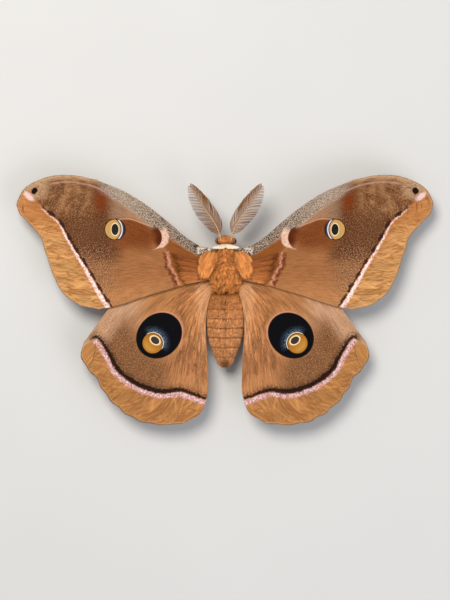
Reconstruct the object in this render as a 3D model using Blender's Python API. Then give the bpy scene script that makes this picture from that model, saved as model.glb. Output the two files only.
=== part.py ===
"""A polyphemus moth, Antheraea polyphemus, a male at life size with its wings spread flat.

The head points to -Y, the moth's own left is +X and +Z is up. The feet stand on z = 0, and the
origin is on the body's axis, under the middle of the spread wings. All sizes are in millimetres.
"""

import math
import random

import bmesh
import bpy
import numpy as np
from mathutils import Vector

MM = 0.001  # one millimetre in Blender's metres
GAP = 0.3  # left between two nodes that touch
SIDES = {"left": 1.0, "right": -1.0}

# Wings
WING_THICKNESS = 0.55
FOREWING_ROOT_Z = 10.8
HINDWING_DROP = 1.4  # the hind wing passes this far under the fore wing
ARCH_RISE = 5.2  # the wings rise from the body and then droop to their tips
ARCH_DROOP = 9.2
ARCH_TILT = 0.012  # they also sink by this much for every millimetre back from ARCH_Y
ARCH_Y = -10.0
HALF_SPAN = 65.0
VEIN_HALF_WIDTH = 0.42
VEIN_HEIGHT = 0.3
VEIN_FADE = 0.5  # the share of that height that a vein loses out to the margin
VEIN_RISE = 0.12  # the share of the wing's length over which a vein rises to its full height
VEIN_ROOM = 0.021  # the most of the wing's width that half a vein takes up where they crowd
COSTA_HEIGHT = 0.4
COSTA_REACH = 0.1  # veins that end this near the leading edge are as high as it
SCALLOP = {"forewing": 0.15, "hindwing": 0.45}  # how far the margin swells between two veins
SCALLOP_INSET = 0.03
ACROSS_STEP = 0.01  # a small step across the wing, which finds the way across
WING_ROWS = 9
ROW_CROWDING = 1.2  # over 1, the rows of the wing's mesh lie closer together near its root
ROOT_FADE = 8  # how soon a wing's edges leave the thorax for their own curves

FOREWING_COSTA = [
    (5.0, -14.7), (7.8, -16.1), (11.4, -18.6), (17.0, -23.6), (23.1, -28.6),
    (30.9, -33.6), (39.7, -37.3),
]
FOREWING_OUTER = [
    (39.7, -37.3), (48.9, -38.9), (58.4, -37.3), (63.6, -33.6), (65.0, -29.8),
    (64.2, -27.3), (61.9, -24.8), (57.5, -19.8), (55.8, -14.8), (54.1, -9.8),
    (52.0, -4.8), (49.1, -1.1), (45.2, 1.4), (39.0, 2.8),
]
FOREWING_INNER = [(6.0, -6.7), (12.5, -4.9), (18.0, -3.2), (24.3, -1.3), (35.0, 2.1), (39.0, 2.8)]
HINDWING_COSTA = [
    (5.6, -8.0), (12.5, -10.2), (22.0, -9.4), (30.0, -5.2), (35.0, 0.8), (39.2, 6.4), (43.7, 12.6),
]
HINDWING_OUTER = [
    (43.7, 12.6), (44.8, 16.4), (43.9, 19.4), (40.0, 24.0), (37.3, 28.7), (33.0, 33.4),
    (27.0, 37.2), (19.0, 38.7), (12.5, 38.3),
]
HINDWING_INNER = [
    (5.2, -4.4), (5.8, -1.0), (6.1, 4.0), (6.1, 9.0), (5.7, 15.2), (5.35, 22.0), (5.6, 30.2),
    (7.5, 35.2), (12.5, 38.3),
]

# A vein: its place across the wing at the root and at the margin, from 0 at the leading edge to
# 1 at the inner edge, and the share of its length where it begins to stand out of the membrane.
FOREWING_VEINS = {
    "subcosta": (0.05, 0.03, 0.0), "radius_1": (0.12, 0.11, 0.4), "radius_2": (0.19, 0.24, 0.55),
    "radius_4": (0.26, 0.36, 0.0), "media_1": (0.35, 0.48, 0.6), "media_2": (0.44, 0.58, 0.6),
    "media_3": (0.53, 0.67, 0.5), "cubitus_1": (0.61, 0.77, 0.0), "cubitus_2": (0.70, 0.87, 0.3),
    "anal_1": (0.85, 0.96, 0.0),
}
HINDWING_VEINS = {
    "subcosta": (0.09, 0.05, 0.0), "radius_s": (0.20, 0.17, 0.0), "media_1": (0.30, 0.29, 0.45),
    "media_2": (0.40, 0.41, 0.45), "media_3": (0.50, 0.53, 0.4), "cubitus_1": (0.60, 0.65, 0.0),
    "cubitus_2": (0.71, 0.78, 0.25), "anal_1": (0.86, 0.92, 0.0),
}

# The body, as (y, half width, half height, height of the middle) from front to back
HEAD_STATIONS = [
    (-17.35, 2.5, 2.9, 8.5), (-18.2, 2.4, 2.8, 8.4), (-18.95, 1.95, 2.35, 8.2),
    (-19.4, 1.25, 1.6, 8.1), (-19.6, 0.5, 0.6, 8.05),
]
COLLAR_STATIONS = [(-15.8, 3.3, 3.0, 9.5), (-16.5, 3.0, 2.9, 9.2), (-17.05, 2.4, 2.7, 8.9)]
THORAX_STATIONS = [
    (-15.5, 3.5, 3.1, 9.6), (-13.8, 4.3, 4.0, 9.5), (-10.5, 4.8, 4.3, 9.2), (-6.5, 4.6, 4.2, 8.9),
    (-2.15, 3.9, 3.6, 8.4),
]
ABDOMEN_STATIONS = [
    (-1.85, 4.2, 3.8, 8.2), (1.5, 5.3, 5.0, 8.0), (6.0, 5.7, 5.4, 7.8), (10.0, 5.5, 5.2, 7.6),
    (14.0, 4.5, 4.5, 7.3), (17.5, 3.0, 3.2, 6.9), (19.4, 1.7, 1.9, 6.7), (20.3, 0.5, 0.6, 6.6),
]
BODY_LEAN = -0.3  # how far the head lies to the moth's right of the middle
BODY_LEAN_Y = (-19.0, 20.0)  # the lean fades out from the first of these to the second
ABDOMEN_SEGMENT = 2.93
ABDOMEN_FIRST_JOINT = -0.3
ABDOMEN_RING_HALF = 0.25  # a ring of the mesh lies this far before and after every joint
ABDOMEN_TAIL = 0.5
ABDOMEN_LAST_JOINT = 1.0  # no joint lies nearer the tail than this
SEGMENT_STEP = 0.3
BODY_SIDES = 20
COLLAR_RINGS = 4
THORAX_RINGS = 9

# Fur locks: flat, tapered and bent along the lie of the coat
LOCK_SINK = 0.9  # how deep the root of a lock lies in the body
LOCK_TIP = 0.12  # half width and half thickness left at the tip, as a share of those at the root
LOCK_ROOT = 0.75  # its width at the root, as a share of its greatest
LOCK_SHOULDER = 0.55  # the share of its height that it has where it is widest
LOCK_SWAY = 0.12  # the most it strays from its line round the body, in radians
THORAX_LOCK = {"length": 4.6, "width": 1.9, "thickness": 0.7, "height": 1.15, "tip": 1.1}
THORAX_LOCK_YS = (-15.1, -13.1, -11.1, -9.1, -7.0, -4.9)
THORAX_LOCK_TURNS = ((-40.0, -20.0, 0.0, 20.0, 40.0), (-30.0, -10.0, 10.0, 30.0))
TEGULA_LOCK = {"length": 3.4, "width": 1.9, "thickness": 0.6, "height": 0.8}
TEGULA_YS = (-14.2, -12.9, -11.6, -10.3, -9.0)
BREAST_LOCK = {"length": 3.8, "width": 1.8, "thickness": 0.7, "height": 0.8, "tip": 0.8}
BREAST_YS = (-14.6, -11.8, -9.0, -6.2)
BREAST_TURNS = (112.0, 180.0, 248.0)
COLLAR_LOCK = {"length": 1.6, "width": 1.3, "thickness": 0.55, "height": 0.8, "tip": 1.25}
COLLAR_LOCK_STEP = 15.0
# Along a lock: the share of its length where it is widest and where it is highest
LOCK_SHARES = (0.25, 0.65)
LOCK_SCATTER = 0.1  # how much the locks differ from one another
THORAX_SEED = 4
TEGULA_STEPS = ((0.4, 1.0), (0.75, 0.8), (1.0, LOCK_TIP))  # shares of its length, and its width
TEGULA_TURN = 40.0
TEGULA_REACH = 7.3  # how far out from the middle the tegula's locks reach
COLLAR_REACH = 105.0  # degrees from the top to the last lock on either side
COLLAR_SETBACK = (0.15, 0.25)  # the locks grow this far behind the collar's front
COLLAR_SWEEP = 0.1
COLLAR_SEED = 7

# Head
EYE_RADIUS = 1.05
EYE_AT = (2.35, -18.45, 8.6)
EYE_SEGMENTS = 12
PALP_ROOT = (0.75, -18.6, 7.0)
PALP_TIP = (0.95, -19.5, 5.7)
PALP_RADII = (0.6, 0.35)
PALP_SIDES = 6

# Antennae
ANTENNA_ROOT_Y = -18.4
ANTENNA_ROOT_TURN = 34.0  # degrees from the top of the head
ANTENNA_PATH = [
    (1.75, -19.6, 11.5), (2.3, -21.4, 11.9), (3.2, -23.35, 12.3), (5.0, -26.2, 12.7),
    (7.0, -29.0, 12.9), (9.3, -32.3, 12.9), (11.2, -35.5, 12.6),
]
ANTENNA_ROOT_RADIUS = 0.45
ANTENNA_TIP_RADIUS = 0.2
ANTENNA_BASE = 0.5  # how far the shaft stands straight out of the head
SHAFT_SIDES = 6
SHAFT_RINGS = 12
RAMUS_PAIRS = 14
RAMUS_RADII = (0.27, 0.22, 0.1)  # at its root, its middle and its tip
RAMUS_SIDES = 4
RAMI_BEGIN = 0.1  # where the rami begin and end along the shaft
RAMI_END = 0.97
# A ray's length, its angle to the shaft at its root, how far it rises from the level, in degrees,
# and the share of that angle to the shaft that it loses out to its tip
OUTER_RAMUS = {"length": 4.2, "angle": 62.0, "rise": -6.0, "curl": 0.08}
INNER_RAMUS = {"length": 5.5, "angle": 48.0, "rise": 14.0, "curl": 0.4}
RAMUS_DROOP = 0.06
# The feather is a leaf: how long its rays are at its root, how far the widest place lies towards
# the root, how full it is, and the shortest ray as a share of the longest
LEAF_START = 0.08
LEAF_SKEW = 0.8
LEAF_FULLNESS = 0.8
LEAF_LEAST = 0.12

# Legs: where each grows from the thorax, as its y and its turn from the top in degrees, and then
# the knee, the ankle and the toe of the left one
LEG_ROOTS = {"fore": (-13.2, 148.0), "mid": (-9.6, 146.0), "hind": (-5.6, 146.0)}
LEG_JOINTS = {
    "fore": [(6.3, -15.6, 4.9), (8.6, -15.0, 2.6), (10.8, -13.4, 0.45)],
    "mid": [(7.4, -8.4, 5.6), (10.4, -6.4, 3.0), (13.2, -4.8, 0.45)],
    "hind": [(6.6, -1.6, 5.2), (8.5, 2.4, 2.7), (10.4, 5.6, 0.45)],
}
COXA_LENGTH = 1.0
COXA_RADIUS = 1.0
# The thigh, the shin and the foot, each as its radii at shares of its length
LEG_RADII = {
    "femur": ((0.0, 0.95), (0.4, 1.0), (0.85, 0.8)),
    "tibia": ((0.0, 0.72), (0.2, 0.72), (0.6, 0.68), (0.9, 0.52)),
    "tarsus": ((0.0, 0.46), (0.2, 0.42), (0.6, 0.38), (1.0, 0.34)),
}
LEG_SIDES = 8
FOOT_SIDES = 8
FOOT_RADIUS = 0.7
FOOT_TOP_RADIUS = 0.45
FOOT_HEIGHT = 0.55

COLOURS = {
    "forewing": (0.42, 0.22, 0.11), "hindwing": (0.46, 0.26, 0.14), "thorax": (0.55, 0.24, 0.07),
    "abdomen": (0.56, 0.29, 0.13), "collar": (0.78, 0.70, 0.62), "head": (0.50, 0.21, 0.07),
    "eye": (0.03, 0.015, 0.01), "antenna": (0.44, 0.28, 0.14), "leg": (0.38, 0.19, 0.09),
}
ROUGHNESS = {"eye": 0.15}
FUR_ROUGHNESS = 0.85
SHARP_ANGLE = 50.0  # edges sharper than this stay sharp to the eye, in degrees


def clear_scene():
    for obj in list(bpy.data.objects):
        bpy.data.objects.remove(obj, do_unlink=True)


def material(kind):
    """The plain material of one kind of node, made once."""
    found = bpy.data.materials.get(kind)
    if found:
        return found
    made = bpy.data.materials.new(kind)
    made.use_nodes = True
    shader = made.node_tree.nodes["Principled BSDF"]
    shader.inputs["Base Color"].default_value = (*COLOURS[kind], 1.0)
    shader.inputs["Roughness"].default_value = ROUGHNESS.get(kind, FUR_ROUGHNESS)
    shader.inputs["Metallic"].default_value = 0.0
    return made


def mesh_object(name, points, faces, kind):
    """An object from points in millimetres, with its faces turned outwards."""
    mesh = bpy.data.meshes.new(name)
    mesh.from_pydata([Vector(p) * MM for p in points], [], faces)
    made = bmesh.new()
    made.from_mesh(mesh)
    bmesh.ops.recalc_face_normals(made, faces=made.faces)
    made.to_mesh(mesh)
    made.free()
    mesh.materials.append(material(kind))
    obj = bpy.data.objects.new(name, mesh)
    bpy.context.scene.collection.objects.link(obj)
    return obj


def hermite(knots, at, t):
    """A smooth curve through the knots at their places, read at t."""
    slopes = np.gradient(knots, at, axis=0)
    t = min(max(t, at[0]), at[-1])
    k = min(int(np.searchsorted(at, t, side="right")) - 1, len(knots) - 2)
    span = at[k + 1] - at[k]
    f = (t - at[k]) / span
    rest = 1.0 - f
    return (
        knots[k] * (1 + 2 * f) * rest * rest
        + slopes[k] * span * f * rest * rest
        + knots[k + 1] * f * f * (3 - 2 * f)
        - slopes[k + 1] * span * f * f * rest
    )


def smooth_curve(points):
    """A smooth curve through the points, as a function of 0 to 1 along it."""
    knots = np.array(points, float)
    steps = np.linalg.norm(np.diff(knots[:, :2], axis=0), axis=1)
    at = np.concatenate([[0.0], np.cumsum(steps)])
    return lambda t: hermite(knots, at / at[-1], t)


def profile(stations):
    """The half width, half height and middle height of a stretch of body at any y."""
    rows = np.array(sorted(stations), float)
    return lambda y: hermite(rows[:, 1:], rows[:, 0], y)


def axis_x(y):
    """How far the body's axis lies from the middle at y."""
    front, back = BODY_LEAN_Y
    return BODY_LEAN * min(max((back - y) / (back - front), 0.0), 1.0)


def body_point(shape, y, turn, lift=0.0):
    """A point on a stretch of body, turned from the top towards the left, lifted off the surface."""
    half_width, half_height, middle = shape(y)
    return (
        axis_x(y) + (half_width + lift) * math.sin(turn),
        y,
        middle + (half_height + lift) * math.cos(turn),
    )


def body_surface(shape, y, turn, lift):
    """A point this far off the body's surface, straight out from it, and that direction."""
    step = 0.05
    here = Vector(body_point(shape, y, turn))
    along = Vector(body_point(shape, y + step, turn)) - Vector(body_point(shape, y - step, turn))
    around = Vector(body_point(shape, y, turn + step)) - Vector(body_point(shape, y, turn - step))
    out = around.cross(along).normalized()
    if out.dot(here - Vector((axis_x(y), y, shape(y)[2]))) < 0:
        out.negate()
    return here + out * lift, out


def tube_faces(rings, sides):
    """The faces of a closed tube of rings, one after another, with flat ends."""
    faces = [list(range(sides)), list(range((rings - 1) * sides, rings * sides))]
    for ring in range(rings - 1):
        for side in range(sides):
            a = ring * sides + side
            b = ring * sides + (side + 1) % sides
            faces.append([a, b, b + sides, a + sides])
    return faces


def body_loft(name, stations, ys, kind, swell=None):
    """A closed stretch of body with a ring at each y, swelled by a function of y."""
    shape = profile(stations)
    points = []
    for y in ys:
        for side in range(BODY_SIDES):
            turn = 2 * math.pi * side / BODY_SIDES
            points.append(body_point(shape, y, turn, swell(y) if swell else 0.0))
    return mesh_object(name, points, tube_faces(len(ys), BODY_SIDES), kind)


def station_ends(stations):
    ys = [row[0] for row in stations]
    return min(ys), max(ys)


def spread(low, high, count):
    return [float(v) for v in np.linspace(low, high, count)]


def tapered_tube(name, path, radii, sides, kind):
    """A closed tube through the points of a path, with one radius at each."""
    line = [Vector(p) for p in path]
    points = []
    for i, centre in enumerate(line):
        ahead = line[min(i + 1, len(line) - 1)] - line[max(i - 1, 0)]
        across = ahead.cross(Vector((0, 0, 1)))
        across = (across if across.length > 1e-6 else Vector((1, 0, 0))).normalized()
        up = across.cross(ahead).normalized()
        for side in range(sides):
            turn = 2 * math.pi * side / sides
            points.append(centre + radii[i] * (across * math.cos(turn) + up * math.sin(turn)))
    return mesh_object(name, points, tube_faces(len(line), sides), kind)


def ball(name, centre, radius, segments, kind):
    made = bmesh.new()
    bmesh.ops.create_uvsphere(made, u_segments=segments, v_segments=segments * 2 // 3, radius=radius)
    points = [vertex.co + Vector(centre) for vertex in made.verts]
    faces = [[vertex.index for vertex in face.verts] for face in made.faces]
    made.free()
    return mesh_object(name, points, faces, kind)


def keep_largest(obj):
    """Keeps the largest closed surface of an object, and drops what a union left loose or sealed."""
    made = bmesh.new()
    made.from_mesh(obj.data)
    made.faces.ensure_lookup_table()
    left, groups = set(made.faces), []
    while left:
        stack, group = [left.pop()], []
        while stack:
            face = stack.pop()
            group.append(face)
            for edge in face.edges:
                for other in edge.link_faces:
                    if other in left:
                        left.remove(other)
                        stack.append(other)
        groups.append(group)
    groups.sort(key=lambda group: -sum(face.calc_area() for face in group))
    loose = [face for group in groups[1:] for face in group]
    bmesh.ops.delete(made, geom=loose, context="FACES")
    made.to_mesh(obj.data)
    made.free()


def apply_boolean(obj, operation, others):
    """Joins the other objects to one, or cuts them from it, and removes them."""
    group = bpy.data.collections.new(obj.name + "_pieces")
    bpy.context.scene.collection.children.link(group)
    for other in others:
        group.objects.link(other)
    modifier = obj.modifiers.new("joined", "BOOLEAN")
    modifier.operation = operation
    modifier.operand_type = "COLLECTION"
    modifier.collection = group
    modifier.solver = "EXACT"
    graph = bpy.context.evaluated_depsgraph_get()
    result = bpy.data.meshes.new_from_object(obj.evaluated_get(graph))
    obj.modifiers.clear()
    obj.data = result
    for other in others:
        bpy.data.objects.remove(other, do_unlink=True)
    bpy.data.collections.remove(group)
    keep_largest(obj)
    return obj


def join(obj, others):
    return apply_boolean(obj, "UNION", others)


def cut(obj, others):
    return apply_boolean(obj, "DIFFERENCE", others)


def lock(name, shape, y, turn, sweep, size, kind, draw):
    """A lock of fur: a flat tapered blade rooted in the body, that rises and lies back along it.

    The sweep is how far it turns round the body on its way back, in radians.
    """
    length = size["length"] * (1 + LOCK_SCATTER * draw.uniform(-1, 1))
    height = size["height"] * (1 + LOCK_SCATTER * draw.uniform(-1, 1))
    sway = LOCK_SWAY * draw.uniform(-1, 1)
    widest, highest = LOCK_SHARES
    # Along the lock: the share of its length, its height over the body and its width
    steps = (
        (0.0, -LOCK_SINK, LOCK_ROOT), (widest, LOCK_SHOULDER * height, 1.0),
        (highest, height, LOCK_ROOT), (1.0, size["tip"], LOCK_TIP),
    )
    rings = []
    for share, lift, width in steps:
        turned = turn + (sweep + sway * share) * share
        here, out = body_surface(shape, y + length * share, turned, lift)
        rings.append((here, out, width))
    return blade(name, rings, size, kind)


def blade(name, rings, size, kind):
    """A closed flat blade through its rings, each a centre, the way its face looks and its width."""
    points = []
    for k, (here, out, width) in enumerate(rings):
        ahead = rings[min(k + 1, len(rings) - 1)][0] - rings[max(k - 1, 0)][0]
        across = ahead.cross(out).normalized()
        up = across.cross(ahead).normalized()
        thick = size["thickness"] / 2 * (1.0 if k < len(rings) - 1 else 2 * LOCK_TIP)
        wide = size["width"] / 2 * width
        points += [here - across * wide, here - up * thick, here + across * wide, here + up * thick]
    return mesh_object(name, points, tube_faces(len(rings), 4), kind)


def tegula_lock(name, shape, y, side, draw):
    """A lock that fans out from the shoulder and lies over the base of the fore wing, clear of it."""
    size = TEGULA_LOCK
    turn = side * math.radians(TEGULA_TURN)
    root, _ = body_surface(shape, y, turn, -LOCK_SINK)
    up = Vector((0, 0, 1))
    rings = [(root, up, LOCK_ROOT)]
    reach = TEGULA_REACH * (1 + LOCK_SCATTER * draw.uniform(-1, 1))
    clear = WING_THICKNESS / 2 + COSTA_HEIGHT + GAP + size["thickness"] / 2
    for share, width in TEGULA_STEPS:
        x = abs(root.x) + (reach - abs(root.x)) * share
        back = y + size["length"] * share
        height = forewing_z(x, back) + clear + size["height"] * (1 - share)
        rings.append((Vector((side * x, back, height)), up, width))
    return blade(name, rings, size, "thorax")


def arch(x, y):
    """How far a wing's middle surface is above its root at a place in plan."""
    out = x / HALF_SPAN
    return ARCH_RISE * out - ARCH_DROOP * out * out - ARCH_TILT * (y - ARCH_Y)


def forewing_z(x, y):
    return FOREWING_ROOT_Z + arch(x, y)


def hindwing_z(x, y):
    return FOREWING_ROOT_Z - HINDWING_DROP + arch(x, y)


def thorax_side(side, y, z):
    """How far out the side of the thorax is at y and z."""
    half_width, half_height, middle = profile(THORAX_STATIONS)(y)
    rise = min(abs(z - middle) / half_height, 0.95)
    return half_width * math.sqrt(1.0 - rise * rise) + side * axis_x(y)


def wing_patch(side, costa, outer, inner, height):
    """The plan of a wing: a point for u from root to margin and v from leading to inner edge."""
    front, margin, back = smooth_curve(costa), smooth_curve(outer), smooth_curve(inner)

    def root(v):
        y = costa[0][1] * (1 - v) + inner[0][1] * v
        x = thorax_side(side, y, height(costa[0][0], y)) + GAP
        return np.array([x, y])

    front_slip, back_slip = root(0.0) - front(0.0), root(1.0) - back(0.0)

    def leading(u):
        return front(u) + front_slip * (1 - u) ** ROOT_FADE

    def trailing(u):
        return back(u) + back_slip * (1 - u) ** ROOT_FADE

    def point(u, v):
        corners = (
            (1 - u) * (1 - v) * leading(0.0) + (1 - u) * v * trailing(0.0)
            + u * (1 - v) * leading(1.0) + u * v * trailing(1.0)
        )
        across = (1 - v) * leading(u) + v * trailing(u)
        along = (1 - u) * root(v) + u * margin(v)
        return across + along - corners

    return point


def wing_columns(veins):
    """The lines of the wing's mesh, from its leading to its inner edge.

    Each is its place across at the root and at the margin, its side of the vein as -1, 0 or 1,
    and the share where the vein begins. Plain lines between veins have None for a vein.
    """
    rows = [(0.0, 0.0, 0, None)]
    ordered = list(veins.values())
    for k, (root, end, begins) in enumerate(ordered):
        for foot in (-1, 0, 1):
            rows.append((root, end, foot, begins))
        next_root, next_end, _ = ordered[k + 1] if k + 1 < len(ordered) else (1.0, 1.0, 0.0)
        rows.append(((root + next_root) / 2, (end + next_end) / 2, 0, None))
    rows.append((1.0, 1.0, 0, None))
    return rows


def wing(name, side, costa, outer, inner, veins, height, kind):
    """A wing as one closed sheet, with its main veins raised in both of its surfaces."""
    point = wing_patch(side, costa, outer, inner, height)
    columns = wing_columns(veins)
    top, bottom = [], []
    for row in range(WING_ROWS + 1):
        u = (row / WING_ROWS) ** ROW_CROWDING
        ease = u * u * (3 - 2 * u)
        for root, end, foot, begins in columns:
            v = root + (end - root) * ease
            place = point(u, v)
            step = point(u, min(v + ACROSS_STEP, 1.0)) - point(u, max(v - ACROSS_STEP, 0.0))
            length = float(np.linalg.norm(step))
            packed = VEIN_ROOM * length / (2 * ACROSS_STEP)
            if foot:
                place = place + foot * min(VEIN_HALF_WIDTH, packed) * step / length
            ridge = 0.0
            if begins is not None and foot == 0:
                full = COSTA_HEIGHT if end < COSTA_REACH else VEIN_HEIGHT
                grown = min(max((u - begins) / VEIN_RISE, 0.0), 1.0) if begins else 1.0
                ridge = full * grown * (1.0 - VEIN_FADE * u)
            if begins is None and 0.0 < end < 1.0 and row == WING_ROWS:
                outward = point(1.0, v) - point(1.0 - SCALLOP_INSET, v)
                place = place + SCALLOP[kind] * outward / float(np.linalg.norm(outward))
            x, y = float(place[0]), float(place[1])
            middle = height(x, y)
            top.append((side * x, y, middle + WING_THICKNESS / 2 + ridge))
            bottom.append((side * x, y, middle - WING_THICKNESS / 2 - ridge / 2))
    return mesh_object(name, top + bottom, sheet_faces(len(columns), WING_ROWS + 1), kind)


def sheet_faces(columns, rows):
    """The triangles of a closed sheet whose top and bottom are grids split alike."""
    under = columns * rows
    faces = []
    for row in range(rows - 1):
        for column in range(columns - 1):
            a = row * columns + column
            b, c, d = a + 1, a + columns + 1, a + columns
            for triangle in ((a, b, c), (a, c, d)):
                faces.append(triangle)
                faces.append(tuple(under + corner for corner in reversed(triangle)))
    rim = [row * columns for row in range(rows)]
    rim += [(rows - 1) * columns + column for column in range(1, columns)]
    rim += [row * columns + columns - 1 for row in range(rows - 2, -1, -1)]
    rim += [column for column in range(columns - 2, 0, -1)]
    for k, a in enumerate(rim):
        b = rim[(k + 1) % len(rim)]
        faces.append((a, b, under + b))
        faces.append((a, under + b, under + a))
    return faces


def make_wings():
    for label, side in SIDES.items():
        wing(
            "forewing_" + label, side, FOREWING_COSTA, FOREWING_OUTER, FOREWING_INNER,
            FOREWING_VEINS, forewing_z, "forewing",
        )
        wing(
            "hindwing_" + label, side, HINDWING_COSTA, HINDWING_OUTER, HINDWING_INNER,
            HINDWING_VEINS, hindwing_z, "hindwing",
        )


def make_head():
    low, high = station_ends(HEAD_STATIONS)
    ys = sorted({row[0] for row in HEAD_STATIONS} | {(low + 2 * high) / 3})
    head = body_loft("head", HEAD_STATIONS, ys, "head")
    lean = axis_x(EYE_AT[1])
    sockets, palps = [], []
    for label, side in SIDES.items():
        centre = (lean + side * EYE_AT[0], EYE_AT[1], EYE_AT[2])
        ball("eye_" + label, centre, EYE_RADIUS, EYE_SEGMENTS, "eye")
        sockets.append(ball("socket_" + label, centre, EYE_RADIUS + GAP, EYE_SEGMENTS, "eye"))
        root = (lean + side * PALP_ROOT[0], *PALP_ROOT[1:])
        tip = (lean + side * PALP_TIP[0], *PALP_TIP[1:])
        palps.append(tapered_tube("palp_" + label, [root, tip], PALP_RADII, PALP_SIDES, "head"))
    join(head, palps)
    cut(head, sockets)


def make_collar():
    """The white ruff behind the head: a ring of locks that fan out and back over the thorax."""
    low, high = station_ends(COLLAR_STATIONS)
    collar = body_loft("collar", COLLAR_STATIONS, spread(low, high, COLLAR_RINGS), "collar")
    shape = profile(COLLAR_STATIONS)
    draw = random.Random(COLLAR_SEED)
    locks = []
    for turn in np.arange(-COLLAR_REACH, COLLAR_REACH + 1.0, COLLAR_LOCK_STEP):
        y = low + draw.uniform(*COLLAR_SETBACK)
        angle = math.radians(float(turn))
        sweep = COLLAR_SWEEP * math.sin(angle)
        locks.append(lock("ruff", shape, y, angle, sweep, COLLAR_LOCK, "collar", draw))
    join(collar, locks)


def make_thorax():
    """The thorax: a core with overlapping locks above the wings, over their bases and below."""
    low, high = station_ends(THORAX_STATIONS)
    thorax = body_loft("thorax", THORAX_STATIONS, spread(low, high, THORAX_RINGS), "thorax")
    shape = profile(THORAX_STATIONS)
    draw = random.Random(THORAX_SEED)
    locks = []
    for row, y in enumerate(THORAX_LOCK_YS):
        for turn in THORAX_LOCK_TURNS[row % 2]:
            angle = math.radians(turn)
            locks.append(lock("fur", shape, y, angle, 0.0, THORAX_LOCK, "thorax", draw))
    for y in TEGULA_YS:
        for side in SIDES.values():
            locks.append(tegula_lock("tegula", shape, y, side, draw))
    for y in BREAST_YS:
        for turn in BREAST_TURNS:
            angle = math.radians(turn)
            locks.append(lock("breast", shape, y, angle, 0.0, BREAST_LOCK, "thorax", draw))
    join(thorax, locks)


def abdomen_rings():
    """The abdomen's rings: each segment ends in a small step down to the next one."""
    low, high = station_ends(ABDOMEN_STATIONS)
    ys = [low]
    joint = ABDOMEN_FIRST_JOINT
    while joint < high - ABDOMEN_LAST_JOINT:
        ys += [joint - ABDOMEN_RING_HALF, joint + ABDOMEN_RING_HALF]
        joint += ABDOMEN_SEGMENT
    return ys + [high - ABDOMEN_TAIL, high]


def segment_swell(y):
    """The front of each segment is drawn in under the back of the one before it."""
    if y in station_ends(ABDOMEN_STATIONS):
        return 0.0
    through = ((y - ABDOMEN_FIRST_JOINT) / ABDOMEN_SEGMENT) % 1.0
    return SEGMENT_STEP * (through - 0.5)


def make_abdomen():
    body_loft("abdomen", ABDOMEN_STATIONS, abdomen_rings(), "abdomen", segment_swell)


def antenna_line(side):
    """The points of one antenna's shaft, from the head's surface out to the tip."""
    lean = axis_x(ANTENNA_ROOT_Y)
    head = profile(HEAD_STATIONS)
    turn = side * math.radians(ANTENNA_ROOT_TURN)
    root, out = body_surface(head, ANTENNA_ROOT_Y, turn, GAP)
    curve = smooth_curve([(lean + side * x, y, z) for x, y, z in ANTENNA_PATH])
    line = [Vector(curve(t)) for t in spread(0.0, 1.0, SHAFT_RINGS)]
    return [root, root + out * ANTENNA_BASE] + line


def ramus(name, root, ahead, side, size, reach):
    """One ray of the feather, which leaves the shaft forwards and to one side and curves on."""
    flat = Vector((ahead.x, ahead.y, 0.0)).normalized()
    away = Vector((-flat.y, flat.x, 0.0)) * side
    path = []
    for share in (0.0, 0.5, 1.0):
        angle = math.radians(size["angle"] * (1.0 - size["curl"] * share))
        rise = math.radians(size["rise"])
        heading = (flat * math.cos(angle) + away * math.sin(angle)) * math.cos(rise)
        heading.z = math.sin(rise) - RAMUS_DROOP * share
        path.append(root + heading * size["length"] * reach * share)
    return tapered_tube(name, path, RAMUS_RADII, RAMUS_SIDES, "antenna")


def leaf_reach(t):
    """How long the rays are at a place along the shaft, as a share of the longest."""
    along = min(1.0, LEAF_START + (1.0 - LEAF_START) * t)
    full = max(math.sin(math.pi * along**LEAF_SKEW), 0.0) ** LEAF_FULLNESS
    return LEAF_LEAST + (1.0 - LEAF_LEAST) * full


def make_antennae():
    for label, side in SIDES.items():
        path = antenna_line(side)
        radii = spread(ANTENNA_ROOT_RADIUS, ANTENNA_TIP_RADIUS, len(path))
        shaft = tapered_tube("antenna_" + label, path, radii, SHAFT_SIDES, "antenna")
        curve = smooth_curve([tuple(point) for point in path[2:]])
        rays = []
        for t in spread(RAMI_BEGIN, RAMI_END, RAMUS_PAIRS):
            root = Vector(curve(t))
            ahead = Vector(curve(t + 0.01)) - Vector(curve(t - 0.01))
            rays.append(ramus("outer", root, ahead, side, OUTER_RAMUS, leaf_reach(t)))
            rays.append(ramus("inner", root, ahead, -side, INNER_RAMUS, leaf_reach(t)))
        join(shaft, rays)


def make_leg(name, side, root, joints):
    """A leg of thigh, shin and foot as one tube, which stands on a flat pad."""
    y, turn = root
    thorax = profile(THORAX_STATIONS)
    start, out = body_surface(thorax, y, side * math.radians(turn), GAP)
    bends = [start + out * COXA_LENGTH]
    bends += [Vector((axis_x(y) + side * x, y_at, z)) for x, y_at, z in joints]
    path, radii = [start], [COXA_RADIUS]
    for k, rows in enumerate(LEG_RADII.values()):
        for share, radius in rows:
            path.append(bends[k].lerp(bends[k + 1], share))
            radii.append(radius)
    leg = tapered_tube(name, path, radii, LEG_SIDES, "leg")
    toe = bends[-1]
    sole, top = Vector((toe.x, toe.y, 0.0)), Vector((toe.x, toe.y, FOOT_HEIGHT))
    radii = (FOOT_RADIUS, FOOT_TOP_RADIUS)
    pad = tapered_tube(name + "_pad", [sole, top], radii, FOOT_SIDES, "leg")
    return join(leg, [pad])


def make_legs():
    for pair, joints in LEG_JOINTS.items():
        for label, side in SIDES.items():
            make_leg(f"leg_{pair}_{label}", side, LEG_ROOTS[pair], joints)


def shade_round(obj):
    """Shades an object smooth to the eye, with its sharper edges kept."""
    obj.data.shade_smooth()
    obj.data.set_sharp_from_angle(angle=math.radians(SHARP_ANGLE))


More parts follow.
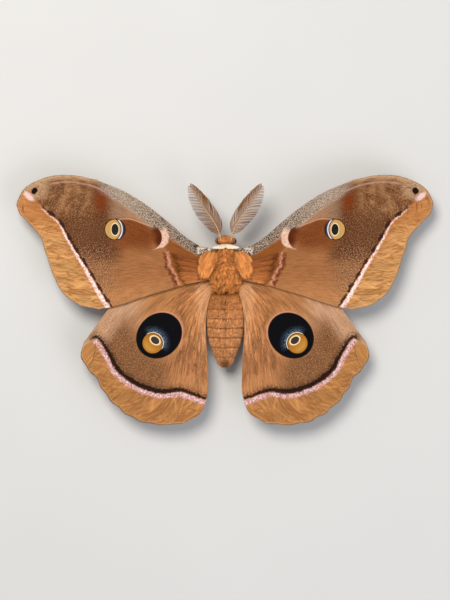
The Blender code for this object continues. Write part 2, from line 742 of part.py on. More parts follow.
def main():
    clear_scene()
    make_wings()
    make_head()
    make_collar()
    make_thorax()
    make_abdomen()
    make_antennae()
    make_legs()
    for obj in bpy.data.objects:
        shade_round(obj)


main()
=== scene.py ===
"""The looks of a polyphemus moth, Antheraea polyphemus: scaled wings with their eyespots, a furred
body on furred legs, and feathered antennae.

Sizes and places are in millimetres, in the frame of the solids: the head points to -Y, the moth's
own left is +X, +Z is up and the feet stand on z = 0. Colours are sRGB from 0 to 255. Markings are
given on the left wings, and the right ones mirror them.
"""

import math

import bpy
import numpy as np
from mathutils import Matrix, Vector


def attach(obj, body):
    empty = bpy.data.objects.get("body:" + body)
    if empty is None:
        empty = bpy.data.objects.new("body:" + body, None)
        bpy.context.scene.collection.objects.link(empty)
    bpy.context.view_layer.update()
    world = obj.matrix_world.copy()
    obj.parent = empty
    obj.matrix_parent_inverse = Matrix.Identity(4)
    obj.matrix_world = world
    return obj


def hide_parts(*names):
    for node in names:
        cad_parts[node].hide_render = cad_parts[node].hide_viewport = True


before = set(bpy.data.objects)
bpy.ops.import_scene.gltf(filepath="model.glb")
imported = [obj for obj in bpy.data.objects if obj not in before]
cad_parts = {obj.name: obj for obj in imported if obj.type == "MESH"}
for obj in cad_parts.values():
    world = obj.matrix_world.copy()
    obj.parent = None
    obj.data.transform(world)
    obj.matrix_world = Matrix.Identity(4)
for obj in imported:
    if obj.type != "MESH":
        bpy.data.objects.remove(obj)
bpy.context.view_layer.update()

MM = 0.001  # one millimetre in Blender's metres
SIDES = {"left": 1.0, "right": -1.0}
UP = np.array([0.0, 0.0, 1.0])

# Wings, as in the solids
FOREWING_ROOT_Z = 10.8
HINDWING_DROP = 1.4
ARCH_RISE = 5.2
ARCH_DROOP = 9.2
HALF_SPAN = 65.0
ARCH_TILT = 0.012  # how much the wings sink for each millimetre back from ARCH_Y
ARCH_Y = -10.0
ROOT_FADE = 8

FOREWING_COSTA = [
    (5.0, -14.7), (7.8, -16.1), (11.4, -18.6), (17.0, -23.6), (23.1, -28.6),
    (30.9, -33.6), (39.7, -37.3),
]
FOREWING_OUTER = [
    (39.7, -37.3), (48.9, -38.9), (58.4, -37.3), (63.6, -33.6), (65.0, -29.8),
    (64.2, -27.3), (61.9, -24.8), (57.5, -19.8), (55.8, -14.8), (54.1, -9.8),
    (52.0, -4.8), (49.1, -1.1), (45.2, 1.4), (39.0, 2.8),
]
FOREWING_INNER = [(6.0, -6.7), (12.5, -4.9), (18.0, -3.2), (24.3, -1.3), (35.0, 2.1), (39.0, 2.8)]
HINDWING_COSTA = [
    (5.6, -8.0), (12.5, -10.2), (22.0, -9.4), (30.0, -5.2), (35.0, 0.8), (39.2, 6.4), (43.7, 12.6),
]
HINDWING_OUTER = [
    (43.7, 12.6), (44.8, 16.4), (43.9, 19.4), (40.0, 24.0), (37.3, 28.7), (33.0, 33.4),
    (27.0, 37.2), (19.0, 38.7), (12.5, 38.3),
]
HINDWING_INNER = [
    (5.2, -4.4), (5.8, -1.0), (6.1, 4.0), (6.1, 9.0), (5.7, 15.2), (5.35, 22.0), (5.6, 30.2),
    (7.5, 35.2), (12.5, 38.3),
]

# A vein: its place across the wing at the root and at the margin, from 0 at the leading edge to
# 1 at the inner edge, and the share of its length where it begins to stand out of the membrane.
FOREWING_VEINS = [
    (0.05, 0.03, 0.0), (0.12, 0.11, 0.4), (0.19, 0.24, 0.55), (0.26, 0.36, 0.0), (0.35, 0.48, 0.6),
    (0.44, 0.58, 0.6), (0.53, 0.67, 0.5), (0.61, 0.77, 0.0), (0.70, 0.87, 0.3), (0.85, 0.96, 0.0),
]
HINDWING_VEINS = [
    (0.09, 0.05, 0.0), (0.20, 0.17, 0.0), (0.30, 0.29, 0.45), (0.40, 0.41, 0.45),
    (0.50, 0.53, 0.4), (0.60, 0.65, 0.0), (0.71, 0.78, 0.25), (0.86, 0.92, 0.0),
]
VEIN_WIDTH = 0.34
VEIN_HEIGHT = 0.13
PLEAT_DEPTH = 0.16  # how far the membrane sags between two veins
PLEAT_WIDTH = 1.6
WING_HALF_THICKNESS = 0.13
COSTA_THICKENING = 0.22
WING_ROOT_INSET = 1.0  # the wing's root is sunk this far into the fur of the thorax
WRINKLED_LENGTH = 62.0  # of the margin, along which the wrinkles of its band are counted
WRINKLE_LENGTHS = (3.1, 1.45)
WRINKLE_DEPTH = 0.09
FRINGE_COUNT = 1800
WING_ROWS = 150
WING_COLUMNS = 140
ROW_CROWDING = 1.1

# The body, as (y, half width, half height, height of the middle) from front to back
HEAD_STATIONS = [
    (-17.35, 2.5, 2.9, 8.5), (-18.2, 2.4, 2.8, 8.4), (-18.95, 1.95, 2.35, 8.2),
    (-19.4, 1.25, 1.6, 8.1), (-19.6, 0.5, 0.6, 8.05),
]
COLLAR_EDGE = -15.75
COLLAR_STATIONS = [(-15.8, 3.3, 3.0, 9.5), (-16.5, 3.0, 2.9, 9.2), (-17.05, 2.4, 2.7, 8.9)]
THORAX_STATIONS = [
    (-15.5, 3.5, 3.1, 9.6), (-13.8, 4.3, 4.0, 9.5), (-10.5, 4.8, 4.3, 9.2), (-6.5, 4.6, 4.2, 8.9),
    (-2.15, 3.9, 3.6, 8.4),
]
ABDOMEN_STATIONS = [
    (-1.85, 4.2, 3.8, 8.2), (1.5, 5.3, 5.0, 8.0), (6.0, 5.7, 5.4, 7.8), (10.0, 5.5, 5.2, 7.6),
    (14.0, 4.5, 4.5, 7.3), (17.5, 3.0, 3.2, 6.9), (19.4, 1.7, 1.9, 6.7), (20.3, 0.5, 0.6, 6.6),
]
BODY_LEAN = -0.3
BODY_LEAN_Y = (-19.0, 20.0)
ABDOMEN_SEGMENT = 2.93
ABDOMEN_FIRST_JOINT = -0.3
THORAX_TIER = 2.3  # the coat of the back lies in tiers with zigzag edges
THORAX_LAST_EDGE = -2.3
THORAX_ZIGZAG = 1.1
THORAX_LOCK = 0.22  # radians round the back that one lock of its coat takes up
# The groove between the back and each shoulder lobe, and the lobe's outer edge
GAP_LINE = [(1.9, -15.3), (2.8, -11.0), (4.6, -7.6)]
LOBE_EDGE = [(5.5, -15.7), (6.8, -13.9), (7.6, -11.2), (7.9, -8.9), (7.4, -7.4)]
# The grey hair from the ends of the collar to the roots of the fore wings
SHOULDER_BACK = [(3.6, -15.6), (5.6, -15.1), (8.4, -14.3)]
SHOULDER_FRONT = [(4.4, -16.1), (5.9, -16.2), (9.0, -17.2)]
# The coat of the collar, wider than the skin that it grows from
RUFF_STATIONS = [
    (-15.6, 4.45, 3.2, 9.3), (-16.1, 4.2, 3.2, 9.25), (-16.6, 3.5, 3.0, 9.1),
    (-17.1, 2.5, 2.8, 8.9), (-17.7, 1.7, 2.5, 8.7),
]
COLLAR_FRONT = -17.2  # the collar's strands that root further forward take their colour from here
# How deep the skin lies under the surface of the solids, which is the depth of the coat
COAT_DEPTH = {"head": 0.45, "collar": 0.7, "thorax": 0.9, "abdomen": 0.6, "leg": 0.2}
SKIN_VOXEL = 0.19
SKIN_SIDES = 64

# Head
EYE_RADIUS = 1.05
EYE_AT = (2.35, -18.45, 8.6)
PALP_ROOT = (0.75, -18.6, 7.0)
PALP_TIP = (0.95, -19.5, 5.7)
EYE_ROWS = 40
EYE_COLUMNS = 56

# Antennae
ANTENNA_ROOT_Y = -18.4
ANTENNA_ROOT_TURN = 34.0
ANTENNA_PATH = [
    (1.75, -19.6, 11.5), (2.3, -21.4, 11.9), (3.2, -23.35, 12.3), (5.0, -26.2, 12.7),
    (7.0, -29.0, 12.9), (9.3, -32.3, 12.9), (11.2, -35.5, 12.6),
]
SCAPE_RADIUS = 0.42  # of the antenna's first joint, which the skin covers
ANTENNA_BASE_RADII = (0.36, 0.38, 0.3)
ANTENNA_ROOT_RADIUS = 0.26
ANTENNA_TIP_RADIUS = 0.13
ANTENNA_SEGMENTS = 32
RAMI_BEGIN = 0.06
RAMI_END = 0.985
# A ray's length, its angle to the shaft at its root, how far it rises from the level, in degrees,
# and the share of that angle to the shaft that it loses out to its tip
OUTER_RAMI = [
    {"length": 4.2, "angle": 62.0, "rise": -9.0, "curl": 0.08},
    {"length": 4.0, "angle": 62.0, "rise": 9.0, "curl": 0.08},
]
INNER_RAMI = [
    {"length": 5.5, "angle": 48.0, "rise": 17.0, "curl": 0.4},
    {"length": 5.3, "angle": 48.0, "rise": 2.0, "curl": 0.4},
]
RAMUS_RADIUS = 0.15
CILIUM_LENGTH = 0.14
CILIUM_HALF_WIDTH = 0.012
CILIA = 16  # on each ray, counting both sides
LEAF_START = 0.08
LEAF_SKEW = 0.8
LEAF_FULLNESS = 0.8
LEAF_LEAST = 0.12

# Legs
LEG_ROOTS = {"fore": (-13.2, 148.0), "mid": (-9.6, 146.0), "hind": (-5.6, 146.0)}
LEG_JOINTS = {
    "fore": [(6.3, -15.6, 4.9), (8.6, -15.0, 2.6), (10.8, -13.4, 0.45)],
    "mid": [(7.4, -8.4, 5.6), (10.4, -6.4, 3.0), (13.2, -4.8, 0.45)],
    "hind": [(6.6, -1.6, 5.2), (8.5, 2.4, 2.7), (10.4, 5.6, 0.45)],
}
LEG_RADII = {
    "femur": ((0.0, 0.95), (0.4, 1.0), (0.85, 0.8)),
    "tibia": ((0.0, 0.72), (0.2, 0.72), (0.6, 0.68), (0.9, 0.52)),
    "tarsus": ((0.0, 0.46), (0.2, 0.42), (0.6, 0.38), (1.0, 0.34)),
}
LEG_RINGS = 90
FOOT_BEADS = 17  # small swellings along a leg, of which only those of the foot show
# A claw's points: how far ahead of the toe, to one side and down
CLAW = [(0.0, 0.1, 0.0), (0.3, 0.22, 0.08), (0.5, 0.3, 0.24), (0.55, 0.32, 0.38)]

# Studio
FLOOR_REACH = 3000.0
FLOOR_DARK = (203, 202, 199)
FLOOR_PALE = (208, 207, 204)
FRAME_HEIGHT = 187.5  # what the camera's frame takes in from its top to its foot, at WING_LEVEL
WING_LEVEL = 10.0
CAMERA_LENS = 100.0
SKY = (0.9, 0.93, 1.0, 1.0)
SKY_STRENGTH = 0.46
# A light's name, its place and size in metres, its power in watts and its colour
LIGHTS = [
    ("key", (0.14, -0.24, 0.56), 0.3, 3.3, (1.0, 0.96, 0.9)),
    ("fill", (-0.35, 0.28, 0.4), 0.4, 1.1, (0.92, 0.95, 1.0)),
]


def linear(colour):
    """An sRGB colour from 0 to 255 as linear light from 0 to 1."""
    share = np.asarray(colour, float) / 255.0
    return np.where(share <= 0.04045, share / 12.92, ((share + 0.055) / 1.055) ** 2.4)


def ramp(value, low, high):
    """0 below low and 1 above high, or the other way round where low is the higher, smoothly."""
    share = np.clip((value - low) / (high - low), 0.0, 1.0)
    return share * share * (3.0 - 2.0 * share)


def over(base, colour, amount):
    """Colours with another laid over them by an amount from 0 to 1."""
    amount = np.asarray(amount, float)[..., None]
    return base * (1.0 - amount) + linear(colour) * amount


def layered(base, count, layers):
    """One colour at so many places, with others laid over it in turn by their amounts."""
    ground = np.broadcast_to(linear(base), (count, 3))
    for colour, amount in layers:
        ground = over(ground, colour, amount)
    return ground


def packed(*parts):
    """Up to three numbers for each place as a vector field."""
    parts += (np.zeros(len(parts[0])),) * (3 - len(parts))
    return np.stack(parts, -1)


def unit(vectors):
    return vectors / np.maximum(np.linalg.norm(vectors, axis=-1, keepdims=True), 1e-9)


def hermite(knots, at, t):
    """A smooth curve through the knots at their places, read at every t."""
    slopes = np.gradient(knots, at, axis=0)
    t = np.clip(t, at[0], at[-1])
    k = np.clip(np.searchsorted(at, t, side="right") - 1, 0, len(at) - 2)
    span = (at[k + 1] - at[k])[..., None]
    f = (t - at[k])[..., None] / span
    rest = 1.0 - f
    return (
        knots[k] * (1 + 2 * f) * rest * rest
        + slopes[k] * span * f * rest * rest
        + knots[k + 1] * f * f * (3 - 2 * f)
        - slopes[k + 1] * span * f * f * rest
    )


def curve(points):
    """A smooth curve through the points, as a function of 0 to 1 along it."""
    knots = np.array(points, float)
    steps = np.linalg.norm(np.diff(knots[:, :2], axis=0), axis=1)
    at = np.concatenate([[0.0], np.cumsum(steps)])
    return lambda t: hermite(knots, at / at[-1], np.asarray(t, float))


def profile(stations, depth=0.0):
    """The half width, half height and middle height of a stretch of body at any y."""
    rows = np.array(sorted(stations), float)
    rows[:, 1:3] = np.maximum(rows[:, 1:3] - depth, 0.12)
    return lambda y: hermite(rows[:, 1:], rows[:, 0], np.asarray(y, float))


def hashed(a, b, salt):
    """A number from 0 to 1 that looks drawn at random but is always the same for a and b."""
    wild = np.sin(a * 12.9898 + b * 78.233 + salt * 37.719) * 43758.5453
    return wild - np.floor(wild)


def soft_noise(a, b, salt):
    """Smooth noise from 0 to 1 over the plane, with a grain of about one unit."""
    a0, b0 = np.floor(a), np.floor(b)
    fa, fb = ramp(a - a0, 0.0, 1.0), ramp(b - b0, 0.0, 1.0)
    low = hashed(a0, b0, salt) * (1 - fa) + hashed(a0 + 1, b0, salt) * fa
    high = hashed(a0, b0 + 1, salt) * (1 - fa) + hashed(a0 + 1, b0 + 1, salt) * fa
    return low * (1 - fb) + high * fb


def distance_to(line, places):
    """How far places in plan are to the left of a smooth line, and how far along it, in mm."""
    samples = curve(line)(np.linspace(0.0, 1.0, 90))
    start, step = samples[:-1], np.diff(samples, axis=0)
    length = np.linalg.norm(step, axis=1)
    before = np.concatenate([[0.0], np.cumsum(length)])[:-1]
    offset = places[:, None, :] - start
    share = np.clip((offset * step).sum(-1) / length**2, 0.0, 1.0)
    away = offset - share[..., None] * step
    gap = np.linalg.norm(away, axis=-1)
    nearest = gap.argmin(axis=1)
    row = np.arange(len(places))
    cross = step[nearest, 0] * away[row, nearest, 1] - step[nearest, 1] * away[row, nearest, 0]
    side = np.where(cross >= 0.0, 1.0, -1.0)
    return side * gap[row, nearest], before[nearest] + share[row, nearest] * length[nearest]


def solid(name, points, triangles, materials, fields=None, flat=None, finishes=None):
    """A smooth mesh object from points in millimetres.

    The fields are values, vectors or colours kept at each point for the material to read, flat is
    each point's place on the unwrap and finishes the material's number for each triangle.
    """
    points = np.asarray(points, float)
    triangles = np.asarray(triangles, np.int32)
    a, b, c = (points[triangles[:, k]] for k in range(3))
    if np.einsum("ij,ij->", a, np.cross(b, c)) < 0:
        triangles = triangles[:, ::-1]
    mesh = bpy.data.meshes.new(name)
    mesh.vertices.add(len(points))
    mesh.vertices.foreach_set("co", (points * MM).astype(np.float32).ravel())
    mesh.loops.add(3 * len(triangles))
    mesh.loops.foreach_set("vertex_index", np.ascontiguousarray(triangles).ravel())
    mesh.polygons.add(len(triangles))
    mesh.polygons.foreach_set("loop_start", np.arange(0, 3 * len(triangles), 3, dtype=np.int32))
    if finishes is not None:
        mesh.polygons.foreach_set("material_index", np.asarray(finishes, np.int32))
    mesh.update(calc_edges=True)
    mesh.shade_smooth()
    for label, values in (fields or {}).items():
        add_field(mesh, label, values)
    if flat is not None:
        layer = mesh.uv_layers.new(name="OFBake")
        layer.data.foreach_set("uv", flat[triangles.ravel()].astype(np.float32).ravel())
    for finish in materials:
        mesh.materials.append(finish)
    return linked(bpy.data.objects.new(name, mesh))


def linked(obj):
    bpy.context.scene.collection.objects.link(obj)
    return obj


def add_field(mesh, label, values):
    values = np.asarray(values, np.float32)
    width = 1 if values.ndim == 1 else values.shape[1]
    kind = {1: "FLOAT", 3: "FLOAT_VECTOR", 4: "FLOAT_COLOR"}[width]
    layer = mesh.attributes.new(label, kind, "POINT")
    target = {1: "value", 3: "vector", 4: "color"}[width]
    layer.data.foreach_set(target, values.ravel())


def with_alpha(colours):
    return np.concatenate([colours, np.ones((len(colours), 1))], axis=1)


def dress(obj, slot, *nodes):
    """Ties a piece to the frame's root body and hides the nodes of the solids that it stands for;
    slot is not used.
    """
    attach(obj, "root")
    if nodes:
        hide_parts(*nodes)
    return obj


def sign(operation, swapped=False):
    """A Value's method for one of Python's own signs."""
    if swapped:
        return lambda self, other: self.paint.math(operation, other, self)
    return lambda self, other: self.paint.math(operation, self, other)


class Value:
    """A node's output, which is added, multiplied and so on as a number is."""

    def __init__(self, paint, socket):
        self.paint, self.socket = paint, socket

    __add__, __radd__ = sign("ADD"), sign("ADD", swapped=True)
    __sub__, __rsub__ = sign("SUBTRACT"), sign("SUBTRACT", swapped=True)
    __mul__, __rmul__ = sign("MULTIPLY"), sign("MULTIPLY", swapped=True)

    def __abs__(self):
        return self.paint.math("ABSOLUTE", self)

    def root(self):
        return self.paint.math("SQRT", self)

    def sine(self):
        return self.paint.math("SINE", self)

    def step(self, low, high):
        """0 below low and 1 above high, or the other way round where low is the higher."""
        inputs = {"Value": self, "From Min": low, "From Max": high}
        return self.paint.node("MapRange", inputs, interpolation_type="SMOOTHSTEP")

    def band(self, low, high, soft):
        """1 between low and high, with soft edges."""
        return self.step(low - soft, low + soft) * self.step(high + soft, high - soft)

    def stretch(self, x, y, z=1.0):
        return self.paint.node("VectorMath", {0: self, 1: [x, y, z]}, operation="MULTIPLY")

    def noise(self, scale, detail=2.0, roughness=0.5, offset=0.0):
        place = self
        if offset:
            place = self.paint.node("VectorMath", {0: self, 1: [offset] * 3}, operation="ADD")
        inputs = {"Vector": place, "Scale": scale, "Detail": detail, "Roughness": roughness}
        return self.paint.node("TexNoise", inputs, "Fac")


class Paint:
    """A material that works out its colour and relief from fields kept on the mesh.

    Its ground is the colour so far, which each new layer is laid over.
    """

    def __init__(self, name, **sockets):
        self.material = bpy.data.materials.new(name)
        self.material.use_nodes = True
        self.nodes = self.material.node_tree.nodes
        self.links = self.material.node_tree.links
        self.shader = self.nodes["Principled BSDF"]
        self.ground = None
        for socket, value in sockets.items():
            self.shader.inputs[socket.replace("_", " ")].default_value = value

    def put(self, socket, value):
        """Feeds a socket with a node's output, a number, a list of numbers or an sRGB colour."""
        if isinstance(value, Value):
            self.links.new(value.socket, socket)
        elif isinstance(value, tuple):
            socket.default_value = (*linear(value), 1.0)
        else:
            socket.default_value = value

    def node(self, kind, inputs, output=0, **settings):
        made = self.nodes.new("ShaderNode" + kind)
        for key, value in settings.items():
            setattr(made, key, value)
        for key, value in inputs.items():
            self.put(made.inputs[key], value)
        return Value(self, made.outputs[output])

    def math(self, operation, a, b=0.0):
        return self.node("Math", {0: a, 1: b}, operation=operation)

    def number(self, label):
        return self.node("Attribute", {}, "Fac", attribute_name=label)

    def vector(self, label):
        return self.node("Attribute", {}, "Vector", attribute_name=label)

    def colour(self, label):
        return self.node("Attribute", {}, "Color", attribute_name=label)

    def parts(self, label):
        """The three numbers of a vector field."""
        made = self.node("SeparateXYZ", {0: self.vector(label)}).socket.node
        return [Value(self, output) for output in made.outputs]

    def join(self, x, y):
        return self.node("CombineXYZ", {0: x, 1: y})

    def place(self):
        """The place on the object in millimetres."""
        return self.node("TexCoord", {}, "Object").stretch(1 / MM, 1 / MM, 1 / MM)

    def lay(self, colour, amount):
        """Lays a colour over the ground by an amount."""
        inputs = {0: amount, 6: self.ground, 7: colour}
        self.ground = self.node("Mix", inputs, 2, data_type="RGBA", clamp_factor=True)

    def shade(self, amount):
        """Makes the ground lighter or darker by a factor about 1."""
        grey = self.node("CombineColor", {0: amount, 1: amount, 2: amount})
        inputs = {0: 1.0, 6: self.ground, 7: grey}
        self.ground = self.node("Mix", inputs, 2, data_type="RGBA", blend_type="MULTIPLY")

    def finish(self, height=None, depth=0.1, roughness=None):
        """Connects the ground, the relief of so many millimetres, and the roughness."""
        self.put(self.shader.inputs["Base Color"], self.ground)
        if roughness is not None:
            self.put(self.shader.inputs["Roughness"], roughness)
        if height is not None:
            inputs = {"Strength": 1.0, "Distance": depth * MM, "Height": height}
            self.put(self.shader.inputs["Normal"], self.node("Bump", inputs))
        return self.material


# Wings


def axis_x(y):
    """How far the body's axis lies from the middle at y."""
    front, back = BODY_LEAN_Y
    return BODY_LEAN * np.clip((back - y) / (back - front), 0.0, 1.0)


def wing_height(kind, x, y):
    """The height of a wing's middle surface at a place in plan."""
    share = x / HALF_SPAN
    root = FOREWING_ROOT_Z - (HINDWING_DROP if kind == "hindwing" else 0.0)
    return root + ARCH_RISE * share - ARCH_DROOP * share * share - ARCH_TILT * (y - ARCH_Y)


def thorax_side(side, y, z):
    """How far out the side of the thorax is at y and z."""
    half_width, half_height, middle = np.moveaxis(profile(THORAX_STATIONS)(y), -1, 0)
    rise = np.minimum(np.abs(z - middle) / half_height, 0.95)
    return half_width * np.sqrt(1.0 - rise * rise) + side * axis_x(y)


class Wing:
    """One wing's shape: points on it for u from root to margin and v from leading to inner edge."""

    OUTLINES = {
        "forewing": (FOREWING_COSTA, FOREWING_OUTER, FOREWING_INNER),
        "hindwing": (HINDWING_COSTA, HINDWING_OUTER, HINDWING_INNER),
    }
    VEINS = {"forewing": FOREWING_VEINS, "hindwing": HINDWING_VEINS}
    SCALLOPS = {"forewing": 0.2, "hindwing": 0.45}

    def __init__(self, kind, label):
        self.kind, self.label, self.side = kind, label, SIDES[label]
        costa, outer, inner = self.OUTLINES[kind]
        self.costa, self.inner = costa, inner
        self.front, self.margin, self.back = curve(costa), curve(outer), curve(inner)
        self.veins = self.VEINS[kind]
        none, whole = np.zeros(1), np.ones(1)
        self.front_slip = (self.root(none) - self.front(none))[0]
        self.back_slip = (self.root(whole) - self.back(none))[0]

    def root(self, v):
        y = self.costa[0][1] * (1 - v) + self.inner[0][1] * v
        z = wing_height(self.kind, self.costa[0][0], y)
        return np.stack([thorax_side(self.side, y, z) - WING_ROOT_INSET, y], -1)

    def leading(self, u):
        return self.front(u) + self.front_slip * (1 - u[..., None]) ** ROOT_FADE

    def trailing(self, u):
        return self.back(u) + self.back_slip * (1 - u[..., None]) ** ROOT_FADE

    def plan(self, u, v):
        u, v = np.broadcast_arrays(np.asarray(u, float), np.asarray(v, float))
        none, whole = np.zeros(1), np.ones(1)
        uu, vv = u[..., None], v[..., None]
        corners = (
            (1 - uu) * (1 - vv) * self.leading(none)[0] + (1 - uu) * vv * self.trailing(none)[0]
            + uu * (1 - vv) * self.leading(whole)[0] + uu * vv * self.trailing(whole)[0]
        )
        across = (1 - vv) * self.leading(u) + vv * self.trailing(u)
        along = (1 - uu) * self.root(v) + uu * self.margin(v)
        return across + along - corners

    def width(self, u, v):
        """Millimetres across the wing for one unit of v."""
        step = self.plan(u, np.minimum(v + 0.01, 1.0)) - self.plan(u, np.maximum(v - 0.01, 0.0))
        return np.linalg.norm(step, axis=-1) / (np.minimum(v + 0.01, 1) - np.maximum(v - 0.01, 0))

    def relief(self, u, v):
        """How high the veins stand, and how far the membrane sags between them."""
        width = self.width(u, v)
        ease = u * u * (3 - 2 * u)
        ridge, held = np.zeros_like(u), np.zeros_like(u)
        for root, end, begins in self.veins:
            away = (v - root - (end - root) * ease) * width
            grown = ramp(u, begins, begins + 0.12) if begins else np.ones_like(u)
            ridge = np.maximum(ridge, grown * np.exp(-((away / VEIN_WIDTH) ** 2)))
            held = np.maximum(held, grown * np.exp(-((away / PLEAT_WIDTH) ** 2)))
        return ridge * (1 - 0.5 * u), held

    def surface(self, u, v, lift, under=False):
        """Points this far off the upper or the under side, and the way out of it there."""
        place = self.plan(u, v)
        x, y = place[..., 0], place[..., 1]
        ridge, held = self.relief(u, v)
        edge = np.minimum(v, 1 - v) * self.width(u, v)
        rim = np.minimum(edge, (1 - u) * 40.0)
        thick = WING_HALF_THICKNESS * (0.35 + 0.65 * ramp(rim, 0.0, 0.6))
        thick = thick + COSTA_THICKENING * np.exp(-v * self.width(u, v) / 0.7) * (1 - 0.75 * u)
        middle = wing_height(self.kind, x, y) - PLEAT_DEPTH * (1 - held) * ramp(u, 0.0, 0.2)
        middle = middle + self.wrinkles(u, v, place)
        flip = -1.0 if under else 1.0
        z = middle + flip * (thick + VEIN_HEIGHT * ridge + lift)
        points = np.stack([self.side * x, y, z], -1)
        outs = np.broadcast_to(UP * flip, points.shape)
        return points, outs

    def wrinkles(self, u, v, place):
        """The waves of the marginal band, which run straight in from the margin."""
        along = v * WRINKLED_LENGTH
        band = ramp(u, 0.74, 0.9)
        slant = along + 0.25 * (place[..., 0] - 50.0) + 1.2 * soft_noise(along / 6, u * 5, 3.0)
        long_wave, short_wave = (slant * 2 * math.pi / length for length in WRINKLE_LENGTHS)
        return WRINKLE_DEPTH * band * (np.sin(long_wave) + 0.5 * np.sin(short_wave + 1.0))

    def grid(self):
        """The u and v of every point of the wing's mesh, row by row."""
        u = np.linspace(0.0, 1.0, WING_ROWS + 1) ** ROW_CROWDING
        v = np.linspace(0.0, 1.0, WING_COLUMNS + 1)
        return (part.ravel() for part in np.meshgrid(u, v, indexing="ij"))

    def scalloped(self, u, v, points):
        """The points with the margin drawn out between the veins."""
        _, held = self.relief(u, v)
        out = unit(self.plan(np.ones_like(v), v) - self.plan(np.full_like(v, 0.96), v))
        out = out * (self.SCALLOPS[self.kind] * (1 - held) * ramp(u, 0.94, 1.0))[:, None]
        points[:, 0] += self.side * out[:, 0]
        points[:, 1] += out[:, 1]
        return points


# Markings of the fore wing
SUBMARGINAL = [
    (58.8, -30.5), (56.3, -28.1), (51.8, -24.4), (49.4, -20.2), (46.9, -15.9), (43.8, -11.2),
    (41.6, -7.5), (39.7, -4.2), (36.5, 0.9), (35.0, 3.0),
]
BASAL_LINE = [(18.8, -15.6), (18.3, -12.8), (18.0, -10.7), (16.6, -8.1), (15.3, -5.0), (14.6, -3.6)]
CELL_ARC = [(33.75, -25.0), (29.7, -25.1), (25.3, -23.6), (21.2, -22.2)]
COSTAL_LINE = [(56.0, -36.2), (50.0, -36.9), (41.5, -35.6), (36.0, -33.2)]
FORE_EYE = (34.3, -22.0)
FORE_WINDOW_HALF_SIZES = (1.1, 1.72)
APEX = (59.0, -35.5)
DISCAL_CENTRE = (23.4, -19.4)
DISCAL_RADIUS = 3.75
APEX_SPOT = (59.7, -34.2)
# Markings of the hind wing
DARK_BAND = [
    (43.2, 13.5), (41.4, 12.0), (40.1, 11.6), (38.9, 12.7), (37.5, 14.7), (35.6, 18.1),
    (33.7, 21.6), (30.6, 24.4), (26.9, 26.6), (22.8, 28.1), (19.7, 28.7), (16.6, 28.4),
    (14.1, 28.1),
    (10.9, 29.1), (6.4, 30.8),
]
EGG = (20.6, 11.1)
EGG_HALF_SIZES = (7.7, 6.7)  # along its long axis, towards the head and the body, and across
YOLK = (22.6, 13.5)
HIND_WINDOW = (21.85, 12.6)
HIND_WINDOW_HALF_SIZES = (1.45, 1.05)
HIND_WINDOW_TILT = 35.0
SHADE_LINE = [(16.0, -3.0), (21.2, 0.6), (25.5, 4.0), (29.4, 7.8), (31.5, 12.0)]

TAN = (160, 103, 60)
TAN_LOW = (186, 126, 78)
FIELD = (100, 58, 28)
FIELD_LOW = (150, 100, 64)
DARKEST = (86, 44, 18)
CELL = (122, 62, 24)
CELL_DARK = (78, 30, 8)
RUST = (118, 50, 10)
MOTTLED = (122, 78, 44)
MOTTLE_PALE = (160, 114, 76)
MOTTLE_DARK = (94, 56, 32)
BASE_ORANGE = (140, 78, 32)
BASE_PALE = (202, 128, 68)
OCHRE = (207, 150, 92)
OCHRE_ORANGE = (188, 120, 66)
OCHRE_BROWN = (178, 108, 54)
COSTA_GREY = (156, 136, 116)
COSTA_TAN = (162, 126, 98)
COSTA_RIM = (190, 150, 114)
HIND_ROOT = (184, 124, 74)
HIND_PALE = (196, 148, 112)
HIND_COSTA = (206, 158, 122)
HIND_FIELD = (120, 77, 44)
HIND_INNER = (188, 127, 80)
HIND_EDGE = (196, 146, 104)
HIND_SHADE = (138, 92, 58)
HIND_OCHRE = (184, 126, 74)
HIND_OCHRE_PALE = (184, 127, 72)
PINK = (226, 184, 174)
FROST = (246, 228, 224)
BAND_BLACK = (30, 12, 8)
# Scales sown over a wing's ground, and the salt and pepper of the leading edge
FORE_SCALE_DARK = (66, 38, 24)
FORE_SCALE_PALE = (200, 158, 120)
HIND_SCALE_DARK = (76, 46, 30)
HIND_SCALE_PALE = (198, 160, 124)
COSTA_SALT = (214, 200, 184)
COSTA_PEPPER = (34, 26, 20)
# The painted shade in the folds of the band along the margin, pale streaks of the band, and its rim
FORE_FOLD_SHADE = (148, 90, 46)
FORE_FOLD_PALE = (224, 174, 114)
HIND_FOLD_SHADE = (142, 88, 48)
HIND_FOLD_PALE = (206, 150, 92)
RIM_PALE = (204, 162, 116)
# Lines and spots of the fore wing
BLOT_DARK = (44, 22, 20)
BASAL_ROSE = (204, 144, 120)
BASAL_MAROON = (92, 32, 18)
CRESCENT = (204, 160, 136)
CRESCENT_PALE = (226, 192, 172)
ARC_PALE = (196, 160, 130)
LILAC = (190, 150, 132)
APEX_PINK = (226, 194, 190)
APEX_BLACK = (24, 12, 14)
EYE_RIM = (30, 18, 14)
EYE_YELLOW = (186, 144, 82)
EYE_WHITE = (226, 216, 222)
EYE_BLUE = (62, 70, 90)
EYE_CREAM = (222, 204, 164)
EYE_WINDOW = (26, 21, 22)
# Band and eyespot of the hind wing
BAND_PINK = (202, 152, 148)
BAND_WHITE = (234, 210, 212)
BAND_PLUM = (146, 84, 96)
BAND_SMOKE = (50, 28, 18)
EGG_ROSE = (208, 142, 126)
EGG_BLACK = (6, 6, 9)
DUST_BLUE = (90, 112, 142)
DUST_WHITE = (206, 214, 220)
YOLK_OCHRE = (164, 106, 34)
YOLK_BRIGHT = (200, 150, 72)
YOLK_RIM = (232, 216, 186)
YOLK_ARC = (24, 18, 16)
HIND_WINDOW_RING = (228, 206, 160)
HIND_WINDOW_DARK = (56, 46, 44)
